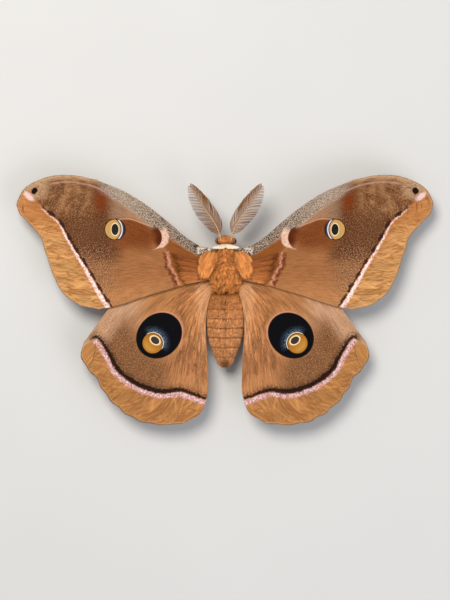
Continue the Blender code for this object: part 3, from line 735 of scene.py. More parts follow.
# Undersides
UNDER_TAN = (150, 106, 80)
UNDER_PALE = (190, 150, 120)
UNDER_BROWN = (112, 76, 58)
UNDER_LINE = (80, 48, 38)
UNDER_FROST = (206, 180, 168)
UNDER_MARGIN = (166, 120, 84)
UNDER_SCALE_DARK = (66, 40, 32)
UNDER_SCALE_PALE = (226, 202, 184)
UNDER_RING = (92, 56, 42)
UNDER_RING_PALE = (214, 184, 140)
UNDER_WINDOW = (58, 50, 48)


def away_from(place, centre):
    return place - np.array(centre)


def forewing_fields(place):
    """The distances, in mm, that the fore wing's markings are drawn by, and its ground colour."""
    x, y = place[:, 0], place[:, 1]
    inward, along = distance_to(SUBMARGINAL, place)
    line = -inward
    rim = np.abs(distance_to(FOREWING_OUTER, place)[0])
    costal = np.abs(distance_to(FOREWING_COSTA + FOREWING_OUTER[1:4], place)[0])
    basal, basal_along = distance_to(BASAL_LINE, place)
    arc, arc_along = distance_to(CELL_ARC, place)
    cell = away_from(place, DISCAL_CENTRE)
    radius = np.maximum(np.linalg.norm(cell, axis=1), 0.01)

    shade = np.exp(-(((x - 37.6) / 3.4) ** 2)) * ramp(y, -8.0, -14.5) * ramp(y, -30.5, -27.0)
    blotch = soft_noise(x / 1.7, y / 1.9, 5.0)
    apical = ramp(y, -25.0, -29.5) * ramp(x, 40.0, 44.0)
    rusty = np.exp(-(((x - 38.3) / 2.6) ** 2) - ((y + 31.3) / 4.0) ** 2)
    below = ramp(arc, 0.3, -0.5)
    inside = below * ramp(x, 21.0, 24.0) * ramp(x, 38.0, 31.0) * ramp(y, -13.4, -18.6)
    soft = 0.4 + 3.2 * ramp(cell[:, 1] / radius, 0.1, 0.8)
    inside = np.maximum(inside, below * ramp(radius, DISCAL_RADIUS + 0.2, DISCAL_RADIUS - soft))
    above_cell = ramp(arc, 0.0, 1.2) * ramp(x, 38.0, 33.0) * ramp(y, -15.0, -19.0)
    reach = np.interp(x, (6.0, 14.0, 24.0, 34.0), (2.9, 3.6, 6.2, 5.0))
    grey = ramp(costal, reach, 0.3 * reach) * ramp(x, 42.0, 33.0)
    base = ramp(basal, 0.2, 1.0) * (1 - ramp(grey, 0.0, 0.5)) * ramp(x, 20.0, 17.5)
    band = ramp(line, -0.2, 0.4)
    near_apex = ramp(np.linalg.norm(away_from(place, APEX), axis=1), 5.0, 2.6)
    ground = layered(TAN, len(place), [
        (TAN_LOW, ramp(y, -9.0, 0.5) * ramp(x, 10.0, 18.0)),
        (FIELD_LOW, 0.8 * ramp(x, 30.0, 37.0) * ramp(y, 0.0, -8.0)),
        (FIELD, ramp(x, 30.0, 35.0) * ramp(y, -9.0, -16.0)),
        (DARKEST, 0.6 * shade * ramp(y, -9.5, -16.0)),
        (MOTTLED, ramp(y, -24.0, -29.0) * ramp(x, 39.0, 43.0)),
        (MOTTLE_PALE, ramp(blotch, 0.55, 0.75) * apical * 0.7),
        (MOTTLE_DARK, ramp(blotch, 0.42, 0.22) * apical * 0.6),
        (RUST, rusty),
        (CELL, inside),
        (COSTA_TAN, 0.75 * above_cell),
        (COSTA_GREY, grey * 0.85),
        (COSTA_RIM, 0.85 * ramp(costal, 1.7, 0.5) * ramp(x, 36.0, 42.0)),
        (BASE_ORANGE, base),
        (BASE_PALE, base * ramp(y, -10.0, -5.0) * 0.8),
        (OCHRE, band),
        (OCHRE_ORANGE, band * ramp(y, -18.0, -27.0) * 0.8),
        (OCHRE_BROWN, 0.55 * band * ramp(line, 3.0, 0.9) * ramp(y, -4.0, -12.0)),
        (COSTA_RIM, near_apex * 0.8),
    ])
    pepper = 0.55 * ramp(x, 29.0, 36.0) + 0.45 * ramp(x, 34.0, 38.0) * ramp(y, -19.0, -15.0)
    pepper = np.maximum(pepper, 0.18) * (1 - band) * (1 - 0.9 * rusty)
    return {
        "ground": with_alpha(ground),
        "pepper": pepper,
        "costa": packed(grey, ramp(x, 38.0, 16.0), apical),
        "line": packed(line, along, rim),
        "eye": packed(*away_from(place, FORE_EYE).T),
        "basal": packed(basal, basal_along),
        "cell": packed(radius - DISCAL_RADIUS, -cell[:, 0] / radius, cell[:, 1] / radius),
        "arc": packed(arc, arc_along),
        "costal_line": packed(*distance_to(COSTAL_LINE, place)),
        "apex": packed(*away_from(place, APEX_SPOT).T),
    }


def hindwing_fields(place):
    """The distances, in mm, that the hind wing's markings are drawn by, and its ground colour."""
    x, y = place[:, 0], place[:, 1]
    inward, along = distance_to(DARK_BAND, place)
    line = -inward
    rim = np.abs(distance_to(HINDWING_OUTER, place)[0])
    front = np.abs(distance_to(HINDWING_COSTA, place)[0])
    shade, shade_along = distance_to(SHADE_LINE, place)
    egg = away_from(place, EGG)
    diagonal = math.sqrt(0.5)
    long_way = (-egg[:, 0] - egg[:, 1]) * diagonal / EGG_HALF_SIZES[0]
    cross_way = (-egg[:, 0] + egg[:, 1]) * diagonal / EGG_HALF_SIZES[1]
    shell = (np.hypot(long_way, cross_way) - 1.0) * EGG_HALF_SIZES[1]
    yolk = away_from(place, YOLK)
    pane = away_from(place, HIND_WINDOW)
    tilt = math.radians(HIND_WINDOW_TILT)
    cosine, sine = math.cos(tilt), math.sin(tilt)
    pane_long = (-pane[:, 0] * cosine + pane[:, 1] * sine) / HIND_WINDOW_HALF_SIZES[0]
    pane_cross = (-pane[:, 0] * sine - pane[:, 1] * cosine) / HIND_WINDOW_HALF_SIZES[1]

    near_band = ramp(line, -15.0, -7.0) * ramp(x, 13.0, 22.0)
    streak = np.exp(-((shade / 0.9) ** 2)) * ramp(shade_along, 1.0, 5.0)
    streak = streak * ramp(shade_along, 20.0, 13.0)
    band = ramp(line, 0.1, 0.7)
    ground = layered(HIND_ROOT, len(place), [
        (HIND_INNER, ramp(y, 2.0, 12.0)),
        (HIND_PALE, ramp(x, 22.0, 30.0) * ramp(y, 14.0, 4.0)),
        (HIND_FIELD, 0.9 * near_band),
        (HIND_COSTA, 0.85 * ramp(front, 8.0, 3.0) * ramp(x, 15.0, 24.0)),
        (HIND_EDGE, 0.6 * ramp(y, 20.0, 6.0) * ramp(x, 9.0, 6.5)),
        (HIND_SHADE, 0.5 * streak),
        (HIND_OCHRE, band),
        (HIND_OCHRE_PALE, band * ramp(x, 22.0, 34.0) * 0.8),
    ])
    return {
        "ground": with_alpha(ground),
        "pepper": np.maximum(0.55 * near_band, 0.15) * (1 - band),
        "line": packed(line, along, rim),
        "egg": packed(shell, long_way),
        "yolk": packed(np.linalg.norm(yolk, axis=1), yolk[:, 0], yolk[:, 1]),
        "pane": np.hypot(pane_long, pane_cross),
    }


WING_FIELDS = {"forewing": forewing_fields, "hindwing": hindwing_fields}
# A wing's size, across and along, in the flat space that the grain of its scales is drawn in
LIE_ACROSS = 44.0
LIE_ALONG = {"forewing": 62.0, "hindwing": 46.0}
OWN_GRAIN = 9.0  # keeps the noise of the left and the right wing apart
SCALE_ROUGHNESS = 0.72
WINDOW_SMOOTHNESS = 0.45
WING_RELIEF = 0.12
FOLD_RELIEF = 2.8


def scale_grounds(p, low, high):
    """The wing's ground colour with its scales: pepper, streaks along it and soft blotches."""
    place, lie = p.vector("place"), p.vector("lie")
    pepper = p.number("pepper")
    p.ground = p.colour("ground")
    grains = lie.stretch(3.4, 2.4).noise(1.0, 2.5, 0.7)
    streaks = lie.stretch(1.9, 0.16).noise(1.0, 3.0, 0.6)
    strands = lie.stretch(5.0, 0.26).noise(1.0, 2.0, 0.6)
    blotches = place.noise(0.32, 3.0, 0.55)
    p.shade(0.42 + streaks * 0.9)
    p.shade(0.5 + strands)
    p.shade(0.87 + blotches * 0.26)
    p.lay(low, pepper * grains.step(0.48, 0.37) * 0.85)
    p.lay(high, pepper * grains.step(0.53, 0.64) * 0.85)
    relief = grains * 0.5 + streaks * 0.9 + strands * 0.6
    return relief, place


def frosted_costa(p, place):
    """The leading edge's salt and pepper, and the mottled patch towards the apex."""
    grey, near_body, apical = p.parts("costa")
    salt = place.noise(3.3, 2.0, 0.7)
    pepper = place.noise(3.1, 2.0, 0.7, offset=5.0)
    share = 0.5 + near_body * 0.06
    light = (share - salt).step(0.05, -0.07)
    light = light * grey.step(0.04, 0.5) * (0.45 + near_body * 0.4)
    p.lay(COSTA_SALT, light)
    black = (pepper - (0.42 + near_body * 0.07)).step(0.03, -0.05)
    black = black * grey.step(0.15, 0.6) * (0.45 + near_body * 0.5)
    p.lay(COSTA_PEPPER, black)
    waves = p.vector("lie").stretch(0.34, 0.95).noise(1.0, 3.0, 0.62)
    p.lay(MOTTLE_PALE, apical * waves.step(0.52, 0.64) * 0.6)
    p.lay(MOTTLE_DARK, apical * waves.step(0.46, 0.34) * 0.65)


def folded_margin(p, line, rim, along, fold_shade, pale):
    """Paints the margin's band, thin dark oblique lines of painted shade in its folds, and a pale
    rim; gives its relief.
    """
    inside = line.step(0.5, 1.5) * along.step(0.2, 4.0)
    slant = p.join(along + line * 0.8, line * 0.3)
    broad = slant.noise(0.36, 2.0, 0.5)
    creases = slant.noise(0.42, 2.0, 0.55, offset=7.0)
    ripple = p.join(along, line).stretch(0.9, 0.14).noise(1.0, 3.0, 0.6)
    # Painted light and shade over the broad folds of the band
    p.shade(1.0 + (broad.step(0.3, 0.7) - 0.6) * inside * 0.32)
    # The thin dark oblique lines are painted shade in the creases of the folds
    thin = abs(creases - 0.5).step(0.045, 0.0)
    p.lay(fold_shade, inside * thin * 0.75)
    p.lay(pale, inside * ripple.step(0.52, 0.72) * 0.5)
    p.lay(RIM_PALE, rim.step(0.45, 0.1) * 0.8)
    return (creases + broad * 0.8 - thin * 0.12) * inside


def fore_window(eye_x, eye_y):
    """How far a place is from the middle of the fore wing's clear window, 1 at its edge."""
    across, along = eye_x * (1 / FORE_WINDOW_HALF_SIZES[0]), eye_y * (1 / FORE_WINDOW_HALF_SIZES[1])
    return (across * across + along * along).root()


def upper_finish(p, relief, creases, window):
    """The finished upper side, smoother in the clear window."""
    relief = relief + creases * FOLD_RELIEF
    return p.finish(relief, WING_RELIEF, SCALE_ROUGHNESS - window * WINDOW_SMOOTHNESS)


def forewing_paint():
    p = Paint("forewing_scales", Roughness=SCALE_ROUGHNESS, Specular_IOR_Level=0.06)
    relief, place = scale_grounds(p, FORE_SCALE_DARK, FORE_SCALE_PALE)
    frosted_costa(p, place)
    line, along, rim = p.parts("line")
    wobble = place.noise(0.9, 2.0) - 0.5
    ragged = line + wobble * 0.7
    creases = folded_margin(p, line, rim, along, FORE_FOLD_SHADE, FORE_FOLD_PALE)

    # The dark submarginal line is a row of blots, with a pale line outside it
    beads = (along * (2 * math.pi / 4.6)).sine()
    half = 0.36 + beads * (0.3 + along * -0.004)
    half = half + (place.noise(1.6, 2.0) - 0.5) * 1.2
    blot = (abs(ragged + 0.3) - half).step(0.14, -0.14)
    begins = along.step(1.2, 3.0)
    reach = 0.34 + along * 0.03
    mottles = place.noise(1.7, 2.0, 0.6)
    rosy = ragged.step(0.12, 0.4) * (ragged - reach).step(0.35, -0.4) * begins
    p.lay(PINK, rosy * mottles.step(0.24, 0.5))
    p.lay(FROST, rosy * mottles.step(0.42, 0.62) * 0.9)
    p.lay(BLOT_DARK, blot * begins * 0.92)

    # The basal line, dark red with rose inside it
    basal, basal_along, _ = p.parts("basal")
    ends = basal_along.step(0.3, 1.0) * basal_along.step(12.6, 11.4)
    zigzag = (basal_along * (2 * math.pi / 2.3)).sine() * 0.12
    drawn = basal + zigzag + wobble * 1.6
    rosy = drawn.band(0.5, 1.25, 0.35) * ends * mottles.step(0.2, 0.6)
    p.lay(BASAL_ROSE, rosy * 0.8)
    maroon = drawn.band(-0.65, 0.35, 0.4) * ends * mottles.step(0.75, 0.4)
    p.lay(BASAL_MAROON, maroon * 0.9)

    # The discal crescent, maroon inside and pale outside, at the cell's inner end
    radial, bodywards, tailwards = p.parts("cell")
    facing = bodywards * 0.98 + tailwards * -0.2
    maroon = radial.step(-3.2, -0.8) * radial.step(0.12, -0.06) * facing.step(0.2, 0.8)
    p.lay(CELL_DARK, maroon * 0.95)
    facing = bodywards * 0.94 + tailwards * 0.34
    thick = (bodywards + tailwards * -0.3).step(0.2, 1.0) * 1.9
    thick = thick + wobble * 0.7
    crescent = radial.step(-0.05, 0.15) * (radial - thick).step(0.5, -0.2)
    crescent = crescent * facing.step(0.45, 0.8)
    p.lay(CRESCENT, crescent * 0.95)
    p.lay(CRESCENT_PALE, crescent * mottles.step(0.4, 0.6) * 0.8)

    # The thin pale arc over the cell and the lilac line near the leading edge
    arc, arc_along, _ = p.parts("arc")
    arc_ends = arc_along.step(0.05, 1.0) * arc_along.step(12.6, 10.5)
    p.lay(ARC_PALE, arc.band(0.02, 0.28, 0.14) * arc_ends * 0.7)
    lilac, lilac_along, _ = p.parts("costal_line")
    lilac_ends = lilac_along.step(0.1, 2.0) * lilac_along.step(21.0, 17.0)
    edge = (lilac + wobble * 0.3).band(-0.3, 0.3, 0.2)
    edge = edge * place.noise(1.1, 2.0).step(0.1, 0.5)
    p.lay(LILAC, edge * lilac_ends * 0.5)

    # The apex: a black spot in a pale patch
    apex_x, apex_y, _ = p.parts("apex")
    pale_x, pale_y = apex_x - 1.8, apex_y - 1.7
    pale_long = pale_x * 0.8 + pale_y * -0.6
    pale_cross = pale_x * 0.6 + pale_y * 0.8
    pale = (pale_long * pale_long * 0.2 + pale_cross * pale_cross * 0.9).root()
    patch = (pale + wobble * 1.1).step(1.15, 0.5)
    p.lay(APEX_PINK, patch * 0.85)
    spot_long = apex_x * 0.75 + apex_y * 0.66
    spot_cross = apex_x * 0.66 - apex_y * 0.75
    spot = (spot_long * spot_long * 0.75 + spot_cross * spot_cross * 1.3).root()
    p.lay(APEX_BLACK, (spot + wobble * 0.6).step(1.15, 0.85))

    # The eyespot: a yellow disk with a clear window, edged on its inner side in black, white, blue
    eye_x, eye_y, _ = p.parts("eye")
    radius = (eye_x * eye_x + eye_y * eye_y).root()
    far_x = eye_x - 2.0
    far = (far_x * far_x + eye_y * eye_y).root()
    pane = fore_window(eye_x, eye_y)
    p.lay(EYE_RIM, radius.step(3.42, 3.24))
    yellow = radius.step(3.18, 2.98) * far.step(3.84, 3.74)
    p.lay(EYE_YELLOW, yellow)
    white = radius.step(3.2, 3.0) * far.band(4.08, 4.42, 0.07)
    p.lay(EYE_WHITE, white)
    blue = radius.step(3.24, 3.05) * far.band(4.5, 4.9, 0.14)
    p.lay(EYE_BLUE, blue * 0.7)
    p.lay(EYE_CREAM, yellow * pane.band(1.02, 1.22, 0.07))
    window = pane.step(1.06, 0.97)
    p.lay(EYE_WINDOW, window)
    return upper_finish(p, relief, creases, window)


def hindwing_paint():
    p = Paint("hindwing_scales", Roughness=SCALE_ROUGHNESS, Specular_IOR_Level=0.06)
    relief, place = scale_grounds(p, HIND_SCALE_DARK, HIND_SCALE_PALE)
    line, along, rim = p.parts("line")
    wobble = place.noise(0.8, 2.5) - 0.5
    ragged = line + wobble * 0.8
    creases = folded_margin(p, line, rim, along, HIND_FOLD_SHADE, HIND_FOLD_PALE)

    # The dark band, smoky on its inner side, and the pink and white line outside it
    ends = along.step(0.6, 3.0) * along.step(53.0, 49.0)
    fringe = ragged + (place.noise(3.0, 1.0) - 0.5) * 0.5
    mottles = place.noise(2.2, 2.0, 0.6)
    rosy = fringe.band(0.6, 2.0, 0.45) * ends
    patches = place.noise(0.9, 2.0, 0.6)
    p.lay(BAND_PINK, rosy * mottles.step(0.2, 0.55))
    p.lay(BAND_WHITE, rosy * mottles.step(0.46, 0.6) * patches.step(0.35, 0.6))
    p.lay(BAND_PLUM, rosy * mottles.step(0.46, 0.34) * 0.75)
    smoke = fringe.step(-2.6, -0.4) * fringe.step(0.2, 0.0) * ends
    p.lay(BAND_SMOKE, smoke * mottles.step(0.66, 0.36) * 0.95)
    width = 0.38 + along.step(3.0, 16.0) * along.step(46.0, 34.0) * 0.34
    black = (abs(fringe + 0.05) - width).step(0.34, -0.3)
    p.lay(BAND_BLACK, black * ends * 0.95)

    # The eyespot: a black egg, a yellow yolk with a clear window, and blue dust on the inner side
    shell, long_way, _ = p.parts("egg")
    rosy_edge = shell.band(-0.05, 0.38, 0.16) * long_way.step(0.15, 0.75)
    p.lay(EGG_ROSE, rosy_edge * 0.55)
    egg = shell.step(0.12, -0.14)
    p.lay(EGG_BLACK, egg)
    reach, yolk_x, yolk_y = p.parts("yolk")
    inward = (yolk_x + yolk_y) * -math.sqrt(0.5)
    dust = reach.step(5.9, 3.3) * inward.step(0.4, 2.8)
    specks = place.noise(4.2, 2.0, 0.7)
    p.lay(DUST_BLUE, dust * specks.step(0.42, 0.66) * egg * 0.95)
    bright = reach.step(4.4, 3.2) * inward.step(0.8, 2.8) * specks.step(0.5, 0.68)
    p.lay(DUST_WHITE, bright * egg * 0.7)
    p.lay(YOLK_OCHRE, reach.step(3.26, 3.1))
    bright_side = reach.step(3.1, 2.2) * inward.step(0.6, -2.4)
    p.lay(YOLK_BRIGHT, bright_side * 0.5)
    rim_line = reach.band(3.22, 3.42, 0.05) * inward.step(0.4, 1.2)
    p.lay(YOLK_RIM, rim_line)
    dark_arc = reach.band(2.94, 3.18, 0.05) * inward.step(0.5, 1.3)
    p.lay(YOLK_ARC, dark_arc)
    pane = p.number("pane")
    p.lay(HIND_WINDOW_RING, pane.band(1.0, 1.34, 0.06))
    window = pane.step(1.06, 0.96)
    p.lay(HIND_WINDOW_DARK, window)
    return upper_finish(p, relief, creases, window)


def underside_paint(kind):
    """The underside: duller, with a dark wavy line, a frosted margin and the same windows."""
    p = Paint(kind + "_underside", Roughness=0.8, Specular_IOR_Level=0.1)
    place, lie = p.vector("place"), p.vector("lie")
    line, along, _ = p.parts("line")
    blotches = place.noise(0.35, 3.0, 0.6)
    grains = place.noise(2.0, 3.0, 0.7)
    streaks = lie.stretch(1.7, 0.2).noise(1.0, 3.0, 0.6)
    p.ground = UNDER_TAN
    p.lay(UNDER_PALE, blotches.step(0.35, 0.68))
    p.lay(UNDER_BROWN, line.step(-14.0, -10.0) * line.step(-1.0, -5.0) * 0.6)
    waves = (along * (2 * math.pi / 5.2)).sine() * 0.5
    wavy = line + (waves + (blotches - 0.5) * 2.4)
    p.lay(UNDER_LINE, wavy.band(-11.4, -10.4, 0.4) * 0.75)
    p.lay(UNDER_FROST, wavy.band(0.2, 2.4, 0.5) * 0.65)
    p.lay(UNDER_MARGIN, line.step(2.6, 3.4) * 0.7)
    p.lay(UNDER_SCALE_DARK, grains.step(0.46, 0.36) * 0.5)
    p.lay(UNDER_SCALE_PALE, grains.step(0.56, 0.66) * 0.5)
    p.shade(0.78 + streaks * 0.44)
    if kind == "forewing":
        pane = fore_window(*p.parts("eye")[:2])
    else:
        pane = p.number("pane")
    p.lay(UNDER_RING, pane.step(2.1, 1.7))
    p.lay(UNDER_RING_PALE, pane.step(1.6, 1.45))
    p.lay(UNDER_WINDOW, pane.step(1.06, 0.97))
    return p.finish(grains * 0.6 + streaks * 1.1, 0.1)


def quads(a, b, c, d):
    """Two triangles for each four corners."""
    return np.concatenate([np.stack([a, b, c], 1), np.stack([a, c, d], 1)])


def sheet_triangles(columns, rows):
    """The triangles of a closed sheet of two like grids, the upper one first."""
    row, column = np.meshgrid(np.arange(rows - 1), np.arange(columns - 1), indexing="ij")
    a = (row * columns + column).ravel()
    top = quads(a, a + 1, a + columns + 1, a + columns)
    under = columns * rows
    rim = [r * columns for r in range(rows)]
    rim += [(rows - 1) * columns + c for c in range(1, columns)]
    rim += [r * columns + columns - 1 for r in range(rows - 2, -1, -1)]
    rim += list(range(columns - 2, 0, -1))
    first = np.array(rim)
    second = np.roll(first, -1)
    return top, top[:, ::-1] + under, quads(first, second, second + under, first + under)


def make_wing(wing, paints):
    u, v = wing.grid()
    top, _ = wing.surface(u, v, 0.0)
    bottom, _ = wing.surface(u, v, 0.0, under=True)
    top, bottom = wing.scalloped(u, v, top), wing.scalloped(u, v, bottom)
    upper, lower, edge = sheet_triangles(WING_COLUMNS + 1, WING_ROWS + 1)
    place = wing.plan(u, v)
    fields = WING_FIELDS[wing.kind](place)
    own = np.full(len(u), OWN_GRAIN * wing.side)
    fields["lie"] = packed(v * LIE_ACROSS, u * LIE_ALONG[wing.kind], own)
    fields = {label: np.concatenate([value, value]) for label, value in fields.items()}
    fields["place"] = np.concatenate([packed(*place.T, own + face[:, 2]) for face in (top, bottom)])
    finishes = np.zeros(len(upper) + len(lower) + len(edge), np.int32)
    finishes[len(upper):len(upper) + len(lower)] = 1
    obj = solid(
        f"{wing.kind}_{wing.label}_scaled", np.concatenate([top, bottom]),
        np.concatenate([upper, lower, edge]), paints, fields, finishes=finishes,
    )
    return dress(obj, wing.kind, f"{wing.kind}_{wing.label}")


# Body


def body_point(shape, y, turn, lift=0.0):
    half_width, half_height, middle = np.moveaxis(shape(y), -1, 0)
    x = axis_x(y) + (half_width + lift) * np.sin(turn)
    return np.stack([x, y, middle + (half_height + lift) * np.cos(turn)], -1)


def body_surface(shape):
    """A function that gives points this far off a stretch of body, and the way out of it there."""
    def surface(y, turn, lift):
        step = 0.05
        here = body_point(shape, y, turn)
        along = body_point(shape, y + step, turn) - body_point(shape, y - step, turn)
        around = body_point(shape, y, turn + step) - body_point(shape, y, turn - step)
        out = unit(np.cross(around, along))
        return here + out * np.asarray(lift)[..., None], out
    return surface


def tube_triangles(rings, sides):
    """The triangles of a closed tube, whose last two points are the middles of its ends."""
    row, side = np.meshgrid(np.arange(rings - 1), np.arange(sides), indexing="ij")
    a, b = (row * sides + side).ravel(), (row * sides + (side + 1) % sides).ravel()
    side = np.arange(sides)
    after = (side + 1) % sides
    last_ring = (rings - 1) * sides
    tip = np.full(sides, rings * sides)
    start = np.stack([after, side, tip], 1)
    end = np.stack([last_ring + side, last_ring + after, tip + 1], 1)
    return np.concatenate([quads(a, b, b + sides, a + sides), start, end])


def tube(path, radii, sides):
    """The points and triangles of a closed tube through a path, with a radius at each point."""
    path, radii = np.asarray(path, float), np.asarray(radii, float)
    ahead = unit(np.gradient(path, axis=0))
    across = unit(np.cross(ahead, UP) + np.array([1e-6, 0, 0]))
    up = np.cross(across, ahead)
    turn = np.arange(sides) * 2 * math.pi / sides
    ring = across[:, None] * np.cos(turn)[:, None] + up[:, None] * np.sin(turn)[:, None]
    points = (path[:, None] + ring * radii[:, None, None]).reshape(-1, 3)
    return np.concatenate([points, path[:1], path[-1:]]), tube_triangles(len(path), sides)


def gathered(parts):
    """Several lots of points and triangles as one."""
    points, triangles, before = [], [], 0
    for some, faces in parts:
        points.append(some)
        triangles.append(np.asarray(faces) + before)
        before += len(some)
    return np.concatenate(points), np.concatenate(triangles)


def loft(stations, depth, low, high, rings):
    """A closed stretch of skin."""
    shape = profile(stations, depth)
    ys = np.linspace(low, high, rings)
    turn = np.arange(SKIN_SIDES) * 2 * math.pi / SKIN_SIDES
    points = body_point(shape, np.repeat(ys, SKIN_SIDES), np.tile(turn, rings))
    centre = np.array([[axis_x(y), y, shape(np.array(y))[2]] for y in (low, high)])
    return np.concatenate([points, centre]), tube_triangles(rings, SKIN_SIDES)


def leg_path(side, pair):
    """The points and radii of one leg, from inside the thorax to its toe."""
    y, turn = LEG_ROOTS[pair]
    surface = body_surface(profile(THORAX_STATIONS))
    start, out = surface(np.array(y), np.array(side * math.radians(turn)), 0.3)
    bends = [start + out]
    bends += [np.array([axis_x(y) + side * x, y_at, z]) for x, y_at, z in LEG_JOINTS[pair]]
    path, radii = [start - out * 1.6, start], [0.9, 1.0]
    for k, rows in enumerate(LEG_RADII.values()):
        for share, radius in rows:
            path.append(bends[k] * (1 - share) + bends[k + 1] * share)
            radii.append(radius)
    return np.array(path), np.array(radii)


def leg_skin(side, pair):
    """The places from 0 to 1 along a leg's skin, the points of its middle and its radii there."""
    path, radii = leg_path(side, pair)
    share = np.linspace(0.0, 1.0, LEG_RINGS)
    steps = np.linalg.norm(np.diff(path[:, :2], axis=0), axis=1)
    at = np.concatenate([[0.0], np.cumsum(steps)]) / steps.sum()
    return share, curve(path)(share), np.interp(share, at, radii - COAT_DEPTH["leg"])


def make_skin():
    """Head, collar, thorax, abdomen and legs as one closed skin under the coat."""
    parts = [
        loft(HEAD_STATIONS, COAT_DEPTH["head"], -19.5, -16.4, 40),
        loft(COLLAR_STATIONS, COAT_DEPTH["collar"], -17.3, -15.0, 12),
        loft(THORAX_STATIONS, COAT_DEPTH["thorax"], -16.4, -1.2, 60),
        loft(ABDOMEN_STATIONS, COAT_DEPTH["abdomen"], -3.0, 20.0, 90),
    ]
    lean = axis_x(EYE_AT[1])
    for side in SIDES.values():
        ends = np.array([(lean + side * x, y, z) for x, y, z in (PALP_ROOT, PALP_TIP)])
        parts.append(tube(np.linspace(ends[0], ends[1], 8), np.linspace(0.55, 0.3, 8), 16))
        root, out = antenna_root(side)
        parts.append(tube(np.linspace(root - out, root + 0.35 * out, 6), [SCAPE_RADIUS] * 6, 16))
        for pair in LEG_JOINTS:
            share, line, thick = leg_skin(side, pair)
            beads = np.sin(share * 2 * math.pi * FOOT_BEADS) * ramp(share, 0.7, 0.75)
            parts.append(tube(line, np.maximum(thick + 0.03 * beads, 0.16), 16))
    points, triangles = gathered(parts)
    rough = solid("skin_rough", points, triangles, [])
    remesh = rough.modifiers.new("one skin", "REMESH")
    remesh.mode = "VOXEL"
    remesh.voxel_size = SKIN_VOXEL * MM
    smooth = rough.modifiers.new("smooth", "SMOOTH")
    smooth.factor, smooth.iterations = 0.5, 3
    graph = bpy.context.evaluated_depsgraph_get()
    mesh = bpy.data.meshes.new_from_object(rough.evaluated_get(graph))
    bpy.data.objects.remove(rough, do_unlink=True)
    mesh.name = "skin"
    places = np.zeros(3 * len(mesh.vertices), np.float32)
    mesh.vertices.foreach_get("co", places)
    places = places.reshape(-1, 3) / MM
    # The skin takes the coat's colour, darkened as painted shade under the coat
    add_field(mesh, "coat", with_alpha(body_colour(places) * 0.62))
    mesh.shade_smooth()
    mesh.materials.append(fur_paint("skin", 0.5))
    obj = linked(bpy.data.objects.new("skin", mesh))
    legs = [f"leg_{pair}_{label}" for pair in LEG_JOINTS for label in SIDES]
    return dress(obj, "thorax", "head", "collar", "thorax", "abdomen", *legs)


# The colours of the coat, the horn and the eyes

HEAD_ORANGE = (228, 146, 82)
COLLAR_WHITE = (246, 228, 208)
COLLAR_CREAM = (250, 228, 178)
THORAX_ORANGE = (242, 158, 84)
THORAX_RED = (232, 144, 72)
# Painted shade, for the groove beside each shoulder lobe, the notch at the back of the thorax and
# the parting of the abdomen
GROOVE_SHADE = (120, 58, 20)
THORAX_BACK = (218, 136, 68)
ABDOMEN_ORANGE = (222, 148, 86)
ABDOMEN_TAN = (236, 164, 104)
ABDOMEN_TIP = (132, 78, 42)
ABDOMEN_LINE = (160, 104, 60)
BELLY = (196, 142, 100)
LEG_BROWN = (150, 94, 56)
FOOT_BROWN = (124, 82, 54)
WING_ROOT_PALE = (222, 206, 188)
WING_ROOT_GREY = (186, 158, 132)
WING_ROOT_DARK = (84, 66, 52)
LEG_FLECK = (206, 172, 138)
CLAW_DARK = (40, 22, 14)
CLAW_PALE = (86, 52, 32)
SHAFT_DARK = (168, 124, 74)
SHAFT_PALE = (214, 172, 118)
RAY_DARK = (104, 60, 16)
RAY_PALE = (156, 100, 38)
FACET_DARK = (34, 18, 12)
FACET_PALE = (78, 46, 28)


